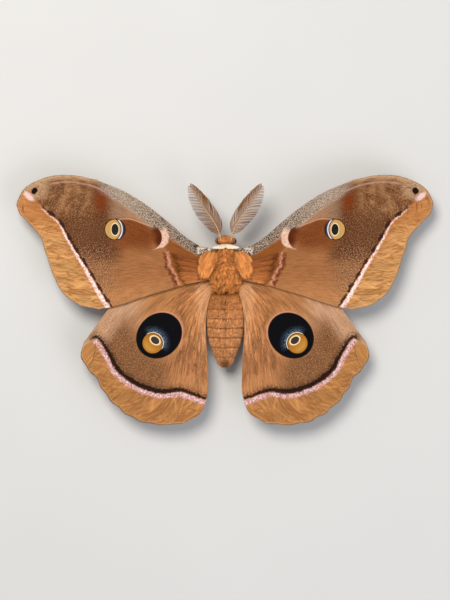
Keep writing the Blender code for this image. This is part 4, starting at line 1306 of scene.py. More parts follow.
def body_colour(places):
    """The colour of the coat at places on the body, head and legs alike, with painted shade in the
    grooves and the notch of the thorax and in the parting of the abdomen.
    """
    x, y, z = places[:, 0] - axis_x(places[:, 1]), places[:, 1], places[:, 2]
    out = np.abs(x)
    top = ramp(z, 8.0, 10.0)
    gap, _ = distance_to(GAP_LINE, np.stack([out, y], -1))
    # Painted shade in the dark notch at the back of the thorax, and a painted shadow along its rear
    # edge
    rear_notch_shade = np.exp(-((x / 0.7) ** 2) - ((y + 2.7) / 0.6) ** 2)
    rear_notch_shade = rear_notch_shade + 0.7 * np.exp(-(((y + 2.0) / 0.35) ** 2))
    middle = np.exp(-((x / 0.16) ** 2)) * top
    # Painted shade in the parting of the abdomen's first segment
    parting_shade = np.exp(-((x / (0.16 + 0.3 * ramp(y, 0.2, 1.2))) ** 2)) * top
    return layered(THORAX_ORANGE, len(places), [
        (THORAX_RED, 0.6 * ramp(out, 2.6, 1.2) * ramp(y, -9.0, -14.0)),
        (THORAX_BACK, ramp(y, -7.0, -3.5)),
        # Painted shade in the groove between the back and each shoulder lobe
        (GROOVE_SHADE, 0.75 * np.exp(-((gap / 0.3) ** 2)) * top),
        (ABDOMEN_ORANGE, ramp(y, -2.2, -1.6)),
        # Painted shade in the notch and painted shadow along the rear edge of the thorax
        (GROOVE_SHADE, np.minimum(rear_notch_shade, 1.0) * 0.85 * top),
        (ABDOMEN_TAN, ramp(y, 1.0, 6.0)),
        (ABDOMEN_TIP, ramp(y, 17.0, 18.8) * ramp(out, 1.9, 0.7) * 0.8),
        (ABDOMEN_LINE, 0.7 * middle * ramp(y, 2.0, 4.0) * ramp(y, 16.0, 12.0)),
        # Painted shade in the parting of the abdomen's first segment
        (GROOVE_SHADE, 0.8 * parting_shade * ramp(y, -0.4, 0.6) * ramp(y, 1.5, 1.2)),
        (BELLY, ramp(z, 7.4, 5.4) * ramp(y, -2.0, 0.0)),
        (COLLAR_WHITE, ramp(y, -16.0, -16.15)),
        (COLLAR_CREAM, ramp(y, -16.4, -17.0) * ramp(out, 1.6, 0.6) * 0.5),
        (HEAD_ORANGE, ramp(y, -17.25, -17.35)),
        (LEG_BROWN, ramp(z, 7.2, 5.4) * ramp(y, -1.0, -2.0)),
        (LEG_BROWN, ramp(out, 5.6, 6.4) * ramp(z, 6.6, 5.8)),
        (FOOT_BROWN, ramp(z, 2.6, 1.4)),
    ])


def fur_paint(name, gloss=0.62):
    """The coat's material: the colour kept on each tuft, with fine strands and a soft sheen."""
    p = Paint(name, Roughness=gloss, Specular_IOR_Level=0.2)
    place = p.place()
    fine = place.noise(3.2, 3.0, 0.6)
    p.ground = p.colour("coat")
    p.shade(0.62 + (fine * 0.5 + place.noise(0.5) * 0.26))
    return p.finish(fine, 0.06, gloss - 0.1 + fine * 0.2)


# Tufts

TUFT_PATCH = 0.003  # the share of the unwrap that one tuft's patch takes up


def tufts(name, paths, outs, widths, roots, tips, flat, finish, thick=0.45):
    """Tapered tufts as one mesh, each a three-sided blade along its own path.

    The paths are points from each root to its tip, the roots and tips their colours, and flat the
    place of each root on the unwrap of what it grows from.
    """
    count, stages = paths.shape[:2]
    ahead = unit(np.gradient(paths, axis=1))
    across = unit(np.cross(ahead, outs))
    up = unit(np.cross(across, ahead))
    share = np.linspace(0.0, 1.0, stages)
    taper = (1.0 - 0.75 * share**2)[:-1] * np.where(share[:-1] == 0, 0.8, 1.0)
    half = widths[:, None, None] / 2 * taper[:, None]
    body = paths[:, :-1]
    aside = across[:, :-1] * half
    rings = np.stack([body - aside, body + aside, body + up[:, :-1] * half * 2 * thick], axis=2)
    points = np.concatenate([rings.reshape(count, -1, 3), paths[:, -1:]], axis=1)
    each = 3 * (stages - 1) + 1
    faces = [(0, 1, 2)]
    for stage in range(stages - 2):
        for side in range(3):
            a, b = 3 * stage + side, 3 * stage + (side + 1) % 3
            faces += [(a, b + 3, b), (a, a + 3, b + 3)]
    last = 3 * (stages - 2)
    faces += [(last + side, each - 1, last + (side + 1) % 3) for side in range(3)]
    triangles = (np.array(faces)[None] + np.arange(count)[:, None, None] * each).reshape(-1, 3)
    at = np.concatenate([np.repeat(share[:-1], 3), [1.0]])
    blend = np.clip(at * 1.25, 0.0, 1.0)[None, :, None]
    coat = roots[:, None] * (1 - blend) + tips[:, None] * blend
    spot = np.stack([np.concatenate([np.tile([0.0, 0.5, 1.0], stages - 1), [0.5]]), at], -1)
    unwrapped = flat[:, None] * (1 - TUFT_PATCH) + spot[None] * TUFT_PATCH
    return solid(
        name, points.reshape(-1, 3), triangles, [finish],
        {"coat": with_alpha(coat.reshape(-1, 3))}, unwrapped.reshape(-1, 2),
    )


class Coat:
    """Roots of tufts on a surface of two numbers, a along the lie of the coat and b across it."""

    def __init__(self, surface, seed):
        self.surface = surface
        self.draw = np.random.default_rng(seed)

    def scatter(self, count, a_range, b_range, density=None):
        """Places drawn over a range, kept in proportion to a density from 0 to 1."""
        a = self.draw.uniform(*a_range, count)
        b = self.draw.uniform(*b_range, count)
        if density is not None:
            kept = self.draw.random(count) < density(a, b)
            a, b = a[kept], b[kept]
        self.a, self.b = a, b
        return self

    def clumped(self, a_size, b_size):
        """Groups the tufts: each one's tip is drawn towards the middle of its clump."""
        row = np.floor(self.a / a_size)
        column = np.floor(self.b / b_size + 0.5 * np.mod(row, 2.0))
        self.clump_a = (row + 0.5 + 0.5 * (hashed(row, column, 1.0) - 0.5)) * a_size
        middle = column + 0.5 - 0.5 * np.mod(row, 2.0) + 0.5 * (hashed(row, column, 2.0) - 0.5)
        self.clump_b = middle * b_size
        self.shade = hashed(row, column, 3.0)
        self.swing = hashed(row, column, 4.0) - 0.5
        return self

    def paths(self, reach, sweep, lifts, pull=0.5, scatter=0.12, rise=1.0):
        """Each tuft's points: it runs on by reach and sweep, and rises off the surface by lifts."""
        count = len(self.a)
        draw = self.draw
        reach = np.broadcast_to(reach, count) * (1 + scatter * draw.uniform(-1, 1, count))
        sweep = np.broadcast_to(sweep, count) + scatter * self.swing * 0.8
        sway = scatter * 0.6 * draw.uniform(-1, 1, count)
        points, outs = [], []
        for s, lift in zip(np.linspace(0.0, 1.0, len(lifts)), lifts):
            a = self.a + reach * s + (self.clump_a - self.a) * pull * s * s * 0.5
            b = self.b + (sweep + sway * s) * s + (self.clump_b - self.b) * pull * s * s
            uneven = 1 + (0.2 * draw.uniform(-1, 1, count) + 0.16 * self.swing) * (s > 0)
            point, out = self.surface(a, b, lift * rise * uneven)
            points.append(point)
            outs.append(out)
        return np.stack(points, 1), np.stack(outs, 1)

    def keep(self, kept, *rows):
        """Drops the tufts that aren't kept, here and from the rows given."""
        self.a, self.b, self.shade = self.a[kept], self.b[kept], self.shade[kept]
        return [row[kept] for row in rows]

    def widths(self, width):
        return width * (1 + 0.3 * self.draw.uniform(-1, 1, len(self.a)))


def tinted(colours, coat, dark=0.6, spread=0.16, clump=0.22):
    """Colours for the roots and tips of a coat's tufts, varied from tuft to tuft; the roots are
    darker by dark, as painted shade.
    """
    lot = 1 + spread * coat.draw.uniform(-1, 1, len(colours)) + clump * (coat.shade - 0.5)
    tips = colours * lot[:, None]
    # The roots are darkened as painted shade under the tufts that lie over them
    return tips * dark, tips


def clear_of_wings(points, above):
    """Bends what would pass through the wings to lie over or under them."""
    x, y, z = np.abs(points[..., 0]), points[..., 1], points[..., 2]
    beside = ramp(x, 3.9, 5.2)
    kind_z = np.where(y < -5.0, wing_height("forewing", x, y), wing_height("hindwing", x, y))
    if above:
        kept = np.maximum(z, kind_z + 0.4)
    else:
        kept = np.minimum(z, wing_height("hindwing", x, y) - 0.4)
    within = (y > -16.5) & (y < 36.0)
    points = points.copy()
    points[..., 2] = np.where(within, z + (kept - z) * beside, z)
    return points


def body_flat(y, turn):
    """The body unwrapped: round it in one direction and along it in the other."""
    return np.stack([turn / (2 * math.pi) % 1.0, (y + 22.0) / 46.0], -1)


def body_coat(name, slot, stations, depth, seed, count, ys, turns, clump, reach, sweep, lifts,
              width, finish, density=None, above=None, pull=0.5, dark=0.6, keep=None, rise=None,
              scatter=0.12, spread=(0.16, 0.22)):
    """One stretch of the body's coat, as a piece of its own."""
    shape = profile(stations, depth)
    coat = Coat(body_surface(shape), seed).scatter(count, ys, turns, density)
    coat.clumped(*clump)
    reach, sweep, high = (
        value(coat.a, coat.b) if callable(value) else value for value in (reach, sweep, rise or 1.0)
    )
    paths, outs = coat.paths(reach, sweep, lifts, pull, scatter, high)
    if above is not None:
        paths = clear_of_wings(paths, above)
    if keep is not None:
        paths, outs = coat.keep(keep(paths), paths, outs)
    y = np.maximum(coat.a, COLLAR_FRONT) if slot == "collar" else coat.a
    on_top = body_point(profile(stations), y, coat.b)
    roots, tips = tinted(body_colour(on_top), coat, dark, *spread)
    widths = coat.widths(width)
    obj = tufts(name, paths, outs, widths, roots, tips, body_flat(coat.a, coat.b), finish)
    return dress(obj, slot)


def own_number(y, turn):
    """A number of each tuft's own from -0.5 to 0.5."""
    return hashed(turn * 91.7, y * 57.3, 8.0) - 0.5


def thorax_reach(y, turn):
    """How far a tuft on the back runs, to the ragged zigzag edge of its tier."""
    lock = np.floor(turn / THORAX_LOCK)
    zigzag = THORAX_ZIGZAG * (np.abs(np.mod(np.abs(turn) / 0.42 + 1.0, 2.0) - 1.0) - 0.5)
    zigzag = zigzag + 0.9 * (hashed(lock, np.floor(y / 1.1), 5.0) - 0.5)
    zigzag = zigzag + 0.4 * own_number(y, turn)
    tier = np.maximum(np.floor((THORAX_LAST_EDGE - 0.9 + zigzag - y) / THORAX_TIER), 0.0)
    reach = np.minimum(THORAX_LAST_EDGE - tier * THORAX_TIER + zigzag, -2.1) - y
    return np.minimum(reach, 2.0)


def thorax_density(y, turn):
    """1 between the shoulder lobes, where a tuft has room to its tier's edge, and 0 elsewhere."""
    x = profile(THORAX_STATIONS)(y)[:, 0] * np.abs(np.sin(turn))
    groove = np.interp(y, (-15.3, -11.0, -7.6, -6.4), (2.1, 3.0, 4.8, 9.0))
    return (thorax_reach(y, turn) > 0.7) * (x < groove)


def segment_share(y, turn):
    """How far along its segment of the abdomen a place is, from 0 to 1."""
    return np.mod((y + 0.25 * np.abs(np.sin(turn)) - ABDOMEN_FIRST_JOINT) / ABDOMEN_SEGMENT, 1.0)


def abdomen_reach(y, turn):
    """How far a tuft runs: past the joint, raggedly so on the front segments, short on the tip."""
    ragged = 0.2 + 1.3 * ramp(y, 8.0, 4.0)
    ragged = ragged * (hashed(np.floor(turn / 0.07), np.floor(y / ABDOMEN_SEGMENT), 6.0) - 0.5)
    ragged = ragged + 0.5 * own_number(y, turn)
    left = (1.0 - segment_share(y, turn)) * ABDOMEN_SEGMENT + 0.2 + ragged
    left = np.where(y < 0.6, 1.2 + ragged, left)
    return np.clip(np.where(y > 17.0, 0.7, left), 0.35, 1.35)


def abdomen_rise(y, turn):
    return 0.85 + 0.18 * np.minimum(segment_share(y, turn) + 0.45, 1.0) + 0.7 * ramp(y, 16.5, 19.0)


def abdomen_density(y, turn):
    gap = np.where(y < 7.0, 0.96, 0.92)
    room = (segment_share(y, turn) < gap) | (y > 17.3) | (y < 1.4)
    return (profile(ABDOMEN_STATIONS)(y)[:, 0] / 5.8 + 0.1) * room


def abdomen_sweep(y, turn):
    """The first segment's coat parts in the middle into two lobes."""
    aside = 0.07 * np.sign(turn) * ramp(np.abs(turn), 1.1, 0.1)
    return aside * ramp(y, 1.2, 0.2) * ramp(y, -1.0, 0.0)


def collar_reach(y, turn):
    """How far a strand of the collar runs, to an even edge with a notch in the middle."""
    notch = 0.5 * np.exp(-((turn / 0.1) ** 2))
    return COLLAR_EDGE - notch - y


def make_body_coat(finish):
    def turns(start, end):
        return math.radians(start), math.radians(end)

    body_coat(
        "fur_thorax_back", "thorax", THORAX_STATIONS, depth=0.8, seed=11, count=15500,
        ys=(-16.0, -2.6), turns=turns(-78, 78), clump=(1.3, THORAX_LOCK), reach=thorax_reach,
        sweep=lambda y, turn: 0.1 * turn, lifts=(0.0, 0.7, 1.15, 1.1), width=0.14, finish=finish,
        density=thorax_density, above=True, pull=0.95, dark=0.34, scatter=0.2, spread=(0.2, 0.55),
    )
    body_coat(
        "fur_thorax_under", "thorax", THORAX_STATIONS, depth=0.8, seed=12, count=6500,
        ys=(-15.8, -3.0), turns=turns(84, 276), clump=(1.6, 0.22), reach=2.9, sweep=0.0,
        lifts=(0.0, 0.8, 1.25, 1.3), width=0.26, finish=finish, above=False, dark=0.5,
    )
    body_coat(
        "fur_abdomen_upper", "abdomen", ABDOMEN_STATIONS, depth=0.6, seed=13, count=14300,
        ys=(-2.3, 20.2), turns=turns(-100, 100), clump=(0.7, 0.1), reach=abdomen_reach,
        sweep=abdomen_sweep, lifts=(0.0, 0.44, 0.66, 0.72), width=0.16, finish=finish,
        density=abdomen_density, pull=0.35, dark=0.66, rise=abdomen_rise, scatter=0.2,
        spread=(0.2, 0.46),
    )
    body_coat(
        "fur_abdomen_under", "abdomen", ABDOMEN_STATIONS, depth=0.6, seed=14, count=9000,
        ys=(-2.3, 20.0), turns=turns(98, 262), clump=(0.7, 0.12), reach=abdomen_reach, sweep=0.0,
        lifts=(0.0, 0.44, 0.66, 0.7), width=0.22, finish=finish, density=abdomen_density, pull=0.35,
        dark=0.62, rise=abdomen_rise, scatter=0.2,
    )
    body_coat(
        "fur_collar", "collar", RUFF_STATIONS, depth=0.0, seed=15, count=7400, ys=(-17.85, -16.2),
        turns=turns(-115, 115), clump=(0.5, 0.05), reach=collar_reach, sweep=0.0,
        lifts=(-1.1, -0.1, 0.2, 0.3), width=0.13, finish=finish, pull=0.15, dark=0.9, scatter=0.08,
        spread=(0.1, 0.12),
    )
    body_coat(
        "fur_head", "head", HEAD_STATIONS, depth=0.4, seed=16, count=4600, ys=(-19.35, -17.6),
        turns=turns(-180, 180), clump=(0.6, 0.24), reach=-0.75, sweep=0.0,
        lifts=(0.0, 0.34, 0.6, 0.62), width=0.15, finish=finish, pull=0.7, dark=0.4,
        keep=clear_of_eyes, scatter=0.25, spread=(0.24, 0.4),
    )
    body_coat(
        "hair_cheeks", "head", HEAD_STATIONS, depth=0.0, seed=17, count=260, ys=(-18.3, -17.3),
        turns=turns(-120, 120), clump=(0.5, 0.2), reach=-1.25,
        sweep=lambda y, turn: -0.35 * np.sign(turn), lifts=(-0.2, 0.75, 1.25, 1.1), width=0.06,
        finish=finish, density=lambda y, turn: ramp(np.abs(turn), 0.75, 1.0), pull=0.1, dark=0.9,
        keep=clear_of_eyes,
    )


def back_height(x, y):
    """The height of the top of the thorax, or of the wing beside it, at places in plan."""
    half_width, half_height, middle = np.moveaxis(profile(THORAX_STATIONS)(y), -1, 0)
    share = np.minimum(np.abs(x - axis_x(y)) / half_width, 1.0)
    body = middle + half_height * np.sqrt(1.0 - share * share)
    wing = wing_height("forewing", np.abs(x), y) + 0.45
    return 0.5 * (body + wing + np.sqrt((body - wing) ** 2 + 0.3))


def draped(side, inner, outer, crown):
    """A surface over the back and the wing root, between two lines in plan: a along, b across."""
    near, far = curve(inner), curve(outer)

    def surface(along, across, lift):
        held = np.clip(along, 0.0, 1.0)
        share = across[..., None]
        place = near(held) * (1 - share) + far(held) * share
        ahead = near(np.ones(1)) - near(np.full(1, 0.9))
        place = place + ahead * 10.0 * np.maximum(along - 1.0, 0.0)[..., None]
        x, y = side * place[..., 0], place[..., 1]
        bulge = crown * np.sin(math.pi * np.clip(across, 0.0, 1.0)) ** 0.7
        z = back_height(x, y) + bulge + lift
        out = np.stack([side * (across - 0.5) * 1.3, np.zeros_like(x), np.ones_like(x)], -1)
        return np.stack([x, y, z], -1), unit(out)
    return surface


def make_shoulders(finish):
    """The lobes of long hair over the wing roots, and the grey hair beside the collar."""
    for label, side in SIDES.items():
        coat = Coat(draped(side, GAP_LINE, LOBE_EDGE, 0.4), 20 + int(side > 0))
        coat.scatter(4600, (-0.04, 0.8), (0.03, 1.0)).clumped(0.2, 0.11)
        edge = 1.02 + 0.3 * (hashed(np.floor(coat.b / 0.11), np.zeros(len(coat.b)), 7.0) - 0.5)
        edge = edge + 0.3 * (coat.draw.random(len(coat.b)) - 0.5)
        reach = np.minimum(0.42, edge - coat.a)
        fan = 0.16 * ramp(coat.b, 0.55, 1.0)
        paths, outs = coat.paths(reach, fan, (-0.6, 0.1, 0.3, 0.12), pull=0.6, scatter=0.22)
        # The lobes take the thorax's colour darkened by 0.9 as painted shade, and their roots are
        # darker as painted shade
        roots, tips = tinted(body_colour(paths[:, 1]) * 0.9, coat, 0.45, 0.2, 0.6)
        flat = np.stack([coat.b, coat.a * 0.9 + 0.05], -1)
        name = f"fur_shoulder_{label}"
        dress(tufts(name, paths, outs, coat.widths(0.16), roots, tips, flat, finish), "thorax")

        coat = Coat(draped(side, SHOULDER_BACK, SHOULDER_FRONT, 0.25), 24 + int(side > 0))
        coat.scatter(1500, (0.0, 0.8), (-0.05, 1.0)).clumped(0.12, 0.12)
        paths, outs = coat.paths(0.3, 0.0, (-0.4, 0.2, 0.3, 0.15), pull=0.2, scatter=0.2)
        shade = soft_noise(paths[:, 2, 0] / 0.35, paths[:, 2, 1] / 0.35, 9.0)[:, None]
        colours = np.where(shade > 0.6, linear(WING_ROOT_PALE), linear(WING_ROOT_GREY))
        colours = np.where(shade < 0.34, linear(WING_ROOT_DARK), colours)
        roots, tips = tinted(colours, coat, 0.7)
        flat = np.stack([coat.b * 0.9 + 0.05, coat.a], -1)
        widths = np.full(len(coat.a), 0.15)
        name = f"fur_wing_root_{label}"
        dress(tufts(name, paths, outs, widths, roots, tips, flat, finish), "thorax")


def clear_of_eyes(paths):
    """Which tufts stay out of the eyes."""
    kept = np.ones(len(paths), bool)
    for side in SIDES.values():
        centre = np.array([axis_x(EYE_AT[1]) + side * EYE_AT[0], EYE_AT[1], EYE_AT[2]])
        kept &= (np.linalg.norm(paths - centre, axis=-1) > EYE_RADIUS + 0.05).all(axis=1)
    return kept


def read_rows(t, at, rows):
    """Points read between rows of them, which stand at their places along a line."""
    return np.stack([np.interp(t, at, rows[:, k]) for k in range(3)], -1)


LEG_LIFTS = (-0.05, 0.22, 0.32, 0.3)


def make_leg_coat(finish):
    """Furred thighs and shins, and feet in short flat scales."""
    lots = []
    for number, pair in enumerate(LEG_JOINTS):
        for side in SIDES.values():
            at, line, thick = leg_skin(side, pair)
            ahead = unit(np.gradient(line, axis=0))
            first = unit(np.cross(ahead, UP))
            second = np.cross(first, ahead)

            def surface(t, turn, lift, at=at, line=line, thick=thick, first=first, second=second):
                one, two = read_rows(t, at, first), read_rows(t, at, second)
                out = unit(one * np.cos(turn)[..., None] + two * np.sin(turn)[..., None])
                away = out * (np.interp(t, at, thick) + lift)[..., None]
                return read_rows(t, at, line) + away, out

            coat = Coat(surface, 40 + number * 2 + int(side > 0))
            coat.scatter(1250, (0.16, 0.97), (-math.pi, math.pi)).clumped(0.04, 0.6)
            shaggy = ramp(coat.a, 0.78, 0.55)
            paths, outs = coat.paths(0.045 + 0.05 * shaggy, 0.0, LEG_LIFTS, pull=0.4)
            share = np.linspace(0, 1, 4)[None, :, None]
            paths = paths + outs * (0.28 * shaggy)[:, None, None] * share
            paths[..., 2] = np.maximum(paths[..., 2], 0.06)
            colours = body_colour(paths[:, 0])
            fleck = coat.draw.random(len(colours)) < 0.18
            colours = np.where(fleck[:, None], linear(LEG_FLECK), colours)
            roots, tips = tinted(colours, coat, 0.55)
            leg = number * 2 + (side > 0)
            flat = np.stack([(coat.b / (2 * math.pi) + 0.5 + leg) / 6.0, coat.a], -1)
            lots.append((paths, outs, 0.14 + 0.08 * shaggy, roots, tips, flat))
    merged = [np.concatenate([lot[k] for lot in lots]) for k in range(6)]
    return dress(tufts("fur_legs", *merged, finish), "leg")


# Head, antennae and feet


def antenna_root(side):
    surface = body_surface(profile(HEAD_STATIONS))
    turn = side * math.radians(ANTENNA_ROOT_TURN)
    return surface(np.array(ANTENNA_ROOT_Y), np.array(turn), 0.3)


def horn_paint(name, dark, pale, roughness=0.5):
    p = Paint(name, Roughness=roughness, Specular_IOR_Level=0.3)
    grain = p.place().noise(2.4, 3.0, 0.6)
    p.ground = dark
    p.lay(pale, grain.step(0.3, 0.7))
    return p.finish(grain, 0.03)


def leaf_reach(t):
    """How long the rays are at a place along the shaft, as a share of the longest."""
    along = min(1.0, LEAF_START + (1.0 - LEAF_START) * t)
    full = max(math.sin(math.pi * along**LEAF_SKEW), 0.0) ** LEAF_FULLNESS
    return LEAF_LEAST + (1.0 - LEAF_LEAST) * full


def ray_path(root, ahead, side, size, reach, stages):
    """The points of one ray of the feather, which leaves the shaft forwards and to one side."""
    flat = unit(np.array([ahead[0], ahead[1], 0.0]))
    away = np.array([-flat[1], flat[0], 0.0]) * side
    path = []
    for share in np.linspace(0.0, 1.0, stages):
        angle = math.radians(size["angle"] * (1.0 - size["curl"] * share))
        rise = math.radians(size["rise"])
        heading = (flat * math.cos(angle) + away * math.sin(angle)) * math.cos(rise)
        heading[2] = math.sin(rise) - 0.06 * share
        path.append(root + heading * size["length"] * reach * share)
    return np.array(path)


def make_antenna(label, side, shaft_paint, ray_paint):
    root, out = antenna_root(side)
    lean = axis_x(ANTENNA_ROOT_Y)
    line = curve([(lean + side * x, y, z) for x, y, z in ANTENNA_PATH])
    t = np.linspace(0.0, 1.0, ANTENNA_SEGMENTS * 6 + 1)
    path = np.concatenate([[root, root + out * 0.25, root + out * 0.5], line(t)])
    swell = 1 + 0.16 * np.cos(np.linspace(0, 1, len(path)) * 2 * math.pi * ANTENNA_SEGMENTS)
    radii = np.linspace(ANTENNA_ROOT_RADIUS, ANTENNA_TIP_RADIUS, len(path)) * swell
    radii[:3] = ANTENNA_BASE_RADII
    shaft = solid(f"antenna_{label}_shaft", *tube(path, radii, 10), [shaft_paint])
    dress(shaft, "antenna", f"antenna_{label}")
    draw = np.random.default_rng(60 + int(side > 0))
    parts = []
    for at in np.linspace(RAMI_BEGIN, RAMI_END, ANTENNA_SEGMENTS):
        ahead = line(np.array(min(at + 0.01, 1.0))) - line(np.array(at - 0.01))
        reach = leaf_reach(at)
        for sizes, flank in ((OUTER_RAMI, side), (INNER_RAMI, -side)):
            for size in sizes:
                spot = line(np.array(min(at, 1.0)))
                varied = dict(size, angle=size["angle"] + draw.uniform(-1.6, 1.6))
                ray = ray_path(spot, ahead, flank, varied, reach * draw.uniform(0.96, 1.02), 7)
                parts.append(tube(ray, RAMUS_RADIUS * np.linspace(1.0, 0.45, 7), 5))
                parts += cilia(ray, draw)
    rays = solid(f"antenna_{label}_rays", *gathered(parts), [ray_paint])
    return dress(rays, "antenna", f"antenna_{label}")


def cilia(ray, draw):
    """The fine hairs along both sides of a ray, each a thin spike of three faces."""
    share = np.repeat(np.linspace(0.06, 0.98, CILIA // 2), 2)
    at = np.linspace(0.0, 1.0, len(ray))
    roots = read_rows(share, at, ray)
    ahead = unit(ray[-1] - ray[0])
    across = unit(np.cross(ahead, UP))
    flank = np.where(np.arange(len(share)) % 2 == 0, 1.0, -1.0)[:, None]
    rise = draw.uniform(-0.3, 0.3, (len(share), 1))
    tips = roots + CILIUM_LENGTH * (flank * across * 0.8 + ahead * 0.6 + UP * rise)
    along, over_it = ahead * CILIUM_HALF_WIDTH, UP * CILIUM_HALF_WIDTH
    base = np.stack([roots - along, roots + along, roots + over_it], 1)
    points = np.concatenate([base, tips[:, None]], 1).reshape(-1, 3)
    faces = np.array([(0, 2, 1), (0, 1, 3), (1, 2, 3), (2, 0, 3)])
    triangles = (faces[None] + 4 * np.arange(len(share))[:, None, None]).reshape(-1, 3)
    turned = np.repeat(flank[:, 0] < 0, 4)[:, None]
    return [(points, np.where(turned, triangles[:, ::-1], triangles))]


def ball(centre, radius, rows, columns):
    """The points and triangles of a sphere whose poles point up and down."""
    rise = np.linspace(0.0, math.pi, rows)[1:-1]
    turn = np.arange(columns) * 2 * math.pi / columns
    ring = np.stack([
        np.outer(np.sin(rise), np.cos(turn)), np.outer(np.sin(rise), np.sin(turn)),
        np.outer(np.cos(rise), np.ones(columns)),
    ], -1).reshape(-1, 3)
    points = np.concatenate([ring, [[0, 0, 1.0]], [[0, 0, -1.0]]]) * radius + np.array(centre)
    return points, tube_triangles(rows - 2, columns)


def eye_paint():
    """A dark glossy eye of small facets."""
    p = Paint("compound_eye", Roughness=0.16, Coat_Weight=0.6, Coat_Roughness=0.08)
    place = p.place()
    facets = p.node("TexVoronoi", {"Vector": place, "Scale": 11.0}, "Distance", feature="F1")
    p.ground = FACET_DARK
    p.lay(FACET_PALE, place.noise(0.8).step(0.4, 0.7))
    return p.finish(facets, 0.02)


def make_eyes():
    finish = eye_paint()
    lean = axis_x(EYE_AT[1])
    for label, side in SIDES.items():
        centre = (lean + side * EYE_AT[0], EYE_AT[1], EYE_AT[2])
        globe = ball(centre, EYE_RADIUS, EYE_ROWS, EYE_COLUMNS)
        eye = solid(f"eye_{label}_globe", *globe, [finish])
        dress(eye, "eye", f"eye_{label}")


def make_claws():
    """Two small hooked claws on every foot."""
    parts = []
    for pair in LEG_JOINTS:
        for side in SIDES.values():
            path, _ = leg_path(side, pair)
            toe = path[-1]
            ahead = unit((path[-1] - path[-3]) * np.array([1, 1, 0]))
            across = np.cross(ahead, UP)
            for flank in (-1.0, 1.0):
                ends = [
                    toe + ahead * on + across * flank * out - UP * down
                    for on, out, down in CLAW
                ]
                parts.append(tube(curve(ends)(np.linspace(0, 1, 9)), np.linspace(0.1, 0.03, 9), 8))
    finish = horn_paint("claw_horn", CLAW_DARK, CLAW_PALE, 0.3)
    return dress(solid("claws", *gathered(parts), [finish]), "leg")


# Long hair on the wings


def wing_hair(wing, name, seed, count, us, vs, density, reach, lifts, width, bright, finish,
              keep=None):
    """Hair that grows from the wing and fans out from its root along the veins."""
    coat = Coat(lambda u, v, lift: wing.surface(np.clip(u, 0, 1), np.clip(v, 0, 1), lift), seed)
    coat.scatter(count, us, vs, density).clumped(0.07, 0.018)
    paths, outs = coat.paths(reach(coat.a, coat.b), 0.0, lifts, pull=0.3, scatter=0.03)
    if keep is not None:
        paths, outs = coat.keep(keep(paths), paths, outs)
    u, v = np.clip(coat.a, 0, 1), np.clip(coat.b, 0, 1)
    ground = WING_FIELDS[wing.kind](wing.plan(u, v))["ground"][:, :3]
    roots, tips = tinted(ground * bright, coat, 0.72, 0.2, 0.6)
    flat = np.stack([u, v], -1)
    return tufts(name, paths, outs, coat.widths(width), roots, tips, flat, finish)


def off_the_markings(paths):
    """Which hairs of a hind wing keep off its eyespot and its dark band."""
    places = paths[..., :2].copy()
    places[..., 0] = np.abs(places[..., 0])
    fields = hindwing_fields(places.reshape(-1, 2))
    shell = fields["egg"][:, 0].reshape(paths.shape[:2])
    line = fields["line"][:, 0].reshape(paths.shape[:2])
    return (shell > 0.35).all(axis=1) & (line < -1.6).all(axis=1)


def make_wing_hair(wings, finish):
    for (kind, label), wing in wings.items():
        name = f"hair_{kind}_{label}"
        seed = 80 + 4 * int(kind == "hindwing") + int(label == "left")
        if kind == "forewing":
            obj = wing_hair(
                wing, name, seed, count=6500, us=(0.01, 0.15), vs=(0.42, 1.0),
                density=lambda u, v: ramp(u, 0.15, 0.06), reach=lambda u, v: 0.06 + 0.03 * v,
                lifts=(-0.1, 0.24, 0.28, 0.06), width=0.13, bright=1.15, finish=finish,
            )
        else:
            obj = wing_hair(
                wing, name, seed, count=12000, us=(0.01, 0.72), vs=(0.26, 0.995),
                density=lambda u, v: ramp(u, 0.7, 0.05) * ramp(v, 0.3, 0.8),
                reach=lambda u, v: 0.08 + 0.03 * v, lifts=(-0.06, 0.12, 0.13, 0.02), width=0.12,
                bright=1.2, finish=finish, keep=off_the_markings,
            )
        dress(obj, kind)


def make_fringe(wing, finish, seed):
    """The short fringe of scales that stands out from a wing's margin."""
    draw = np.random.default_rng(seed)
    v = np.sort(draw.uniform(0.0, 1.0, FRINGE_COUNT))
    whole = np.ones(FRINGE_COUNT)
    points, outs = wing.surface(whole, v, draw.uniform(-0.12, -0.02, FRINGE_COUNT))
    points = wing.scalloped(whole, v, points)
    away = wing.plan(whole, v) - wing.plan(whole * 0.96, v)
    length = np.linalg.norm(away, axis=1)[:, None]
    away = unit(away + 0.25 * length * draw.uniform(-1, 1, away.shape))
    heading = np.stack([wing.side * away[:, 0], away[:, 1], -0.1 * whole], -1)
    share = np.linspace(0.0, 1.0, 3)[None, :, None]
    length = draw.uniform(0.5, 0.75, FRINGE_COUNT)[:, None, None]
    paths = points[:, None] + heading[:, None] * (share * length - 0.25)
    ground = WING_FIELDS[wing.kind](wing.plan(whole * 0.99, v))["ground"][:, :3]
    tips = ground * draw.uniform(0.8, 1.15, (FRINGE_COUNT, 1))
    widths = draw.uniform(0.16, 0.26, FRINGE_COUNT)
    flat = np.stack([np.full(FRINGE_COUNT, 0.5), v], -1)
    outs = np.repeat(outs[:, None], 3, axis=1)
    name = f"fringe_{wing.kind}_{wing.label}"
    # The fringe's roots are darker, as painted shade
    return dress(tufts(name, paths, outs, widths, tips * 0.75, tips, flat, finish), wing.kind)


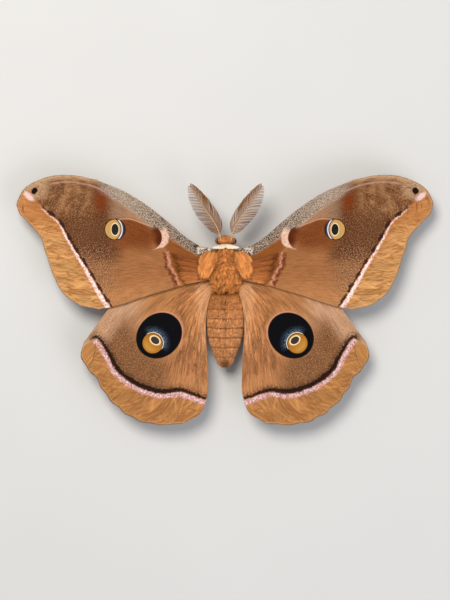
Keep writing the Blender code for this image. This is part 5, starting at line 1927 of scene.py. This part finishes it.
def make_stage():
    """A plain pale floor, soft light and the camera over the moth."""
    size = FLOOR_REACH
    corners = [(-size, -size, 0), (size, -size, 0), (size, size, 0), (-size, size, 0)]
    p = Paint("floor", Roughness=0.9)
    p.ground = FLOOR_DARK
    p.lay(FLOOR_PALE, p.place().noise(0.02))
    floor = solid("floor", corners, [(0, 1, 2), (0, 2, 3)], [p.finish()])
    world = bpy.data.worlds.new("studio")
    world.use_nodes = True
    background = world.node_tree.nodes["Background"]
    background.inputs["Color"].default_value = SKY
    background.inputs["Strength"].default_value = SKY_STRENGTH
    scene = bpy.context.scene
    scene.world = world
    for name, place, size, power, colour in LIGHTS:
        light = bpy.data.lights.new(name, "AREA")
        light.shape = "DISK"
        light.size, light.energy, light.color = size, power, colour
        lamp = linked(bpy.data.objects.new(name, light))
        lamp.location = place
        lamp.rotation_euler = (-Vector(place)).to_track_quat("-Z", "Y").to_euler()
    lens = bpy.data.cameras.new("camera")
    lens.lens = CAMERA_LENS
    lens.clip_start, lens.clip_end = 0.01, 10.0
    distance = FRAME_HEIGHT * MM * lens.lens / lens.sensor_width
    camera = linked(bpy.data.objects.new("camera", lens))
    camera.location = (0.0, 0.0, distance + WING_LEVEL * MM)
    camera.rotation_euler = (0.0, 0.0, math.pi)
    scene.camera = camera
    scene.view_settings.view_transform = "Standard"


def main():
    make_stage()
    paints = {
        "forewing": [forewing_paint(), underside_paint("forewing")],
        "hindwing": [hindwing_paint(), underside_paint("hindwing")],
    }
    wings = {(kind, label): Wing(kind, label) for kind in paints for label in SIDES}
    for (kind, _), wing in wings.items():
        make_wing(wing, paints[kind])
    make_skin()
    finish = fur_paint("fur")
    make_body_coat(finish)
    make_shoulders(finish)
    make_leg_coat(finish)
    make_wing_hair(wings, finish)
    for number, wing in enumerate(wings.values()):
        make_fringe(wing, finish, 100 + number)
    shaft = horn_paint("antenna_shaft", SHAFT_DARK, SHAFT_PALE)
    rays = horn_paint("antenna_rays", RAY_DARK, RAY_PALE)
    for label, side in SIDES.items():
        make_antenna(label, side, shaft, rays)
    make_eyes()
    make_claws()


main()
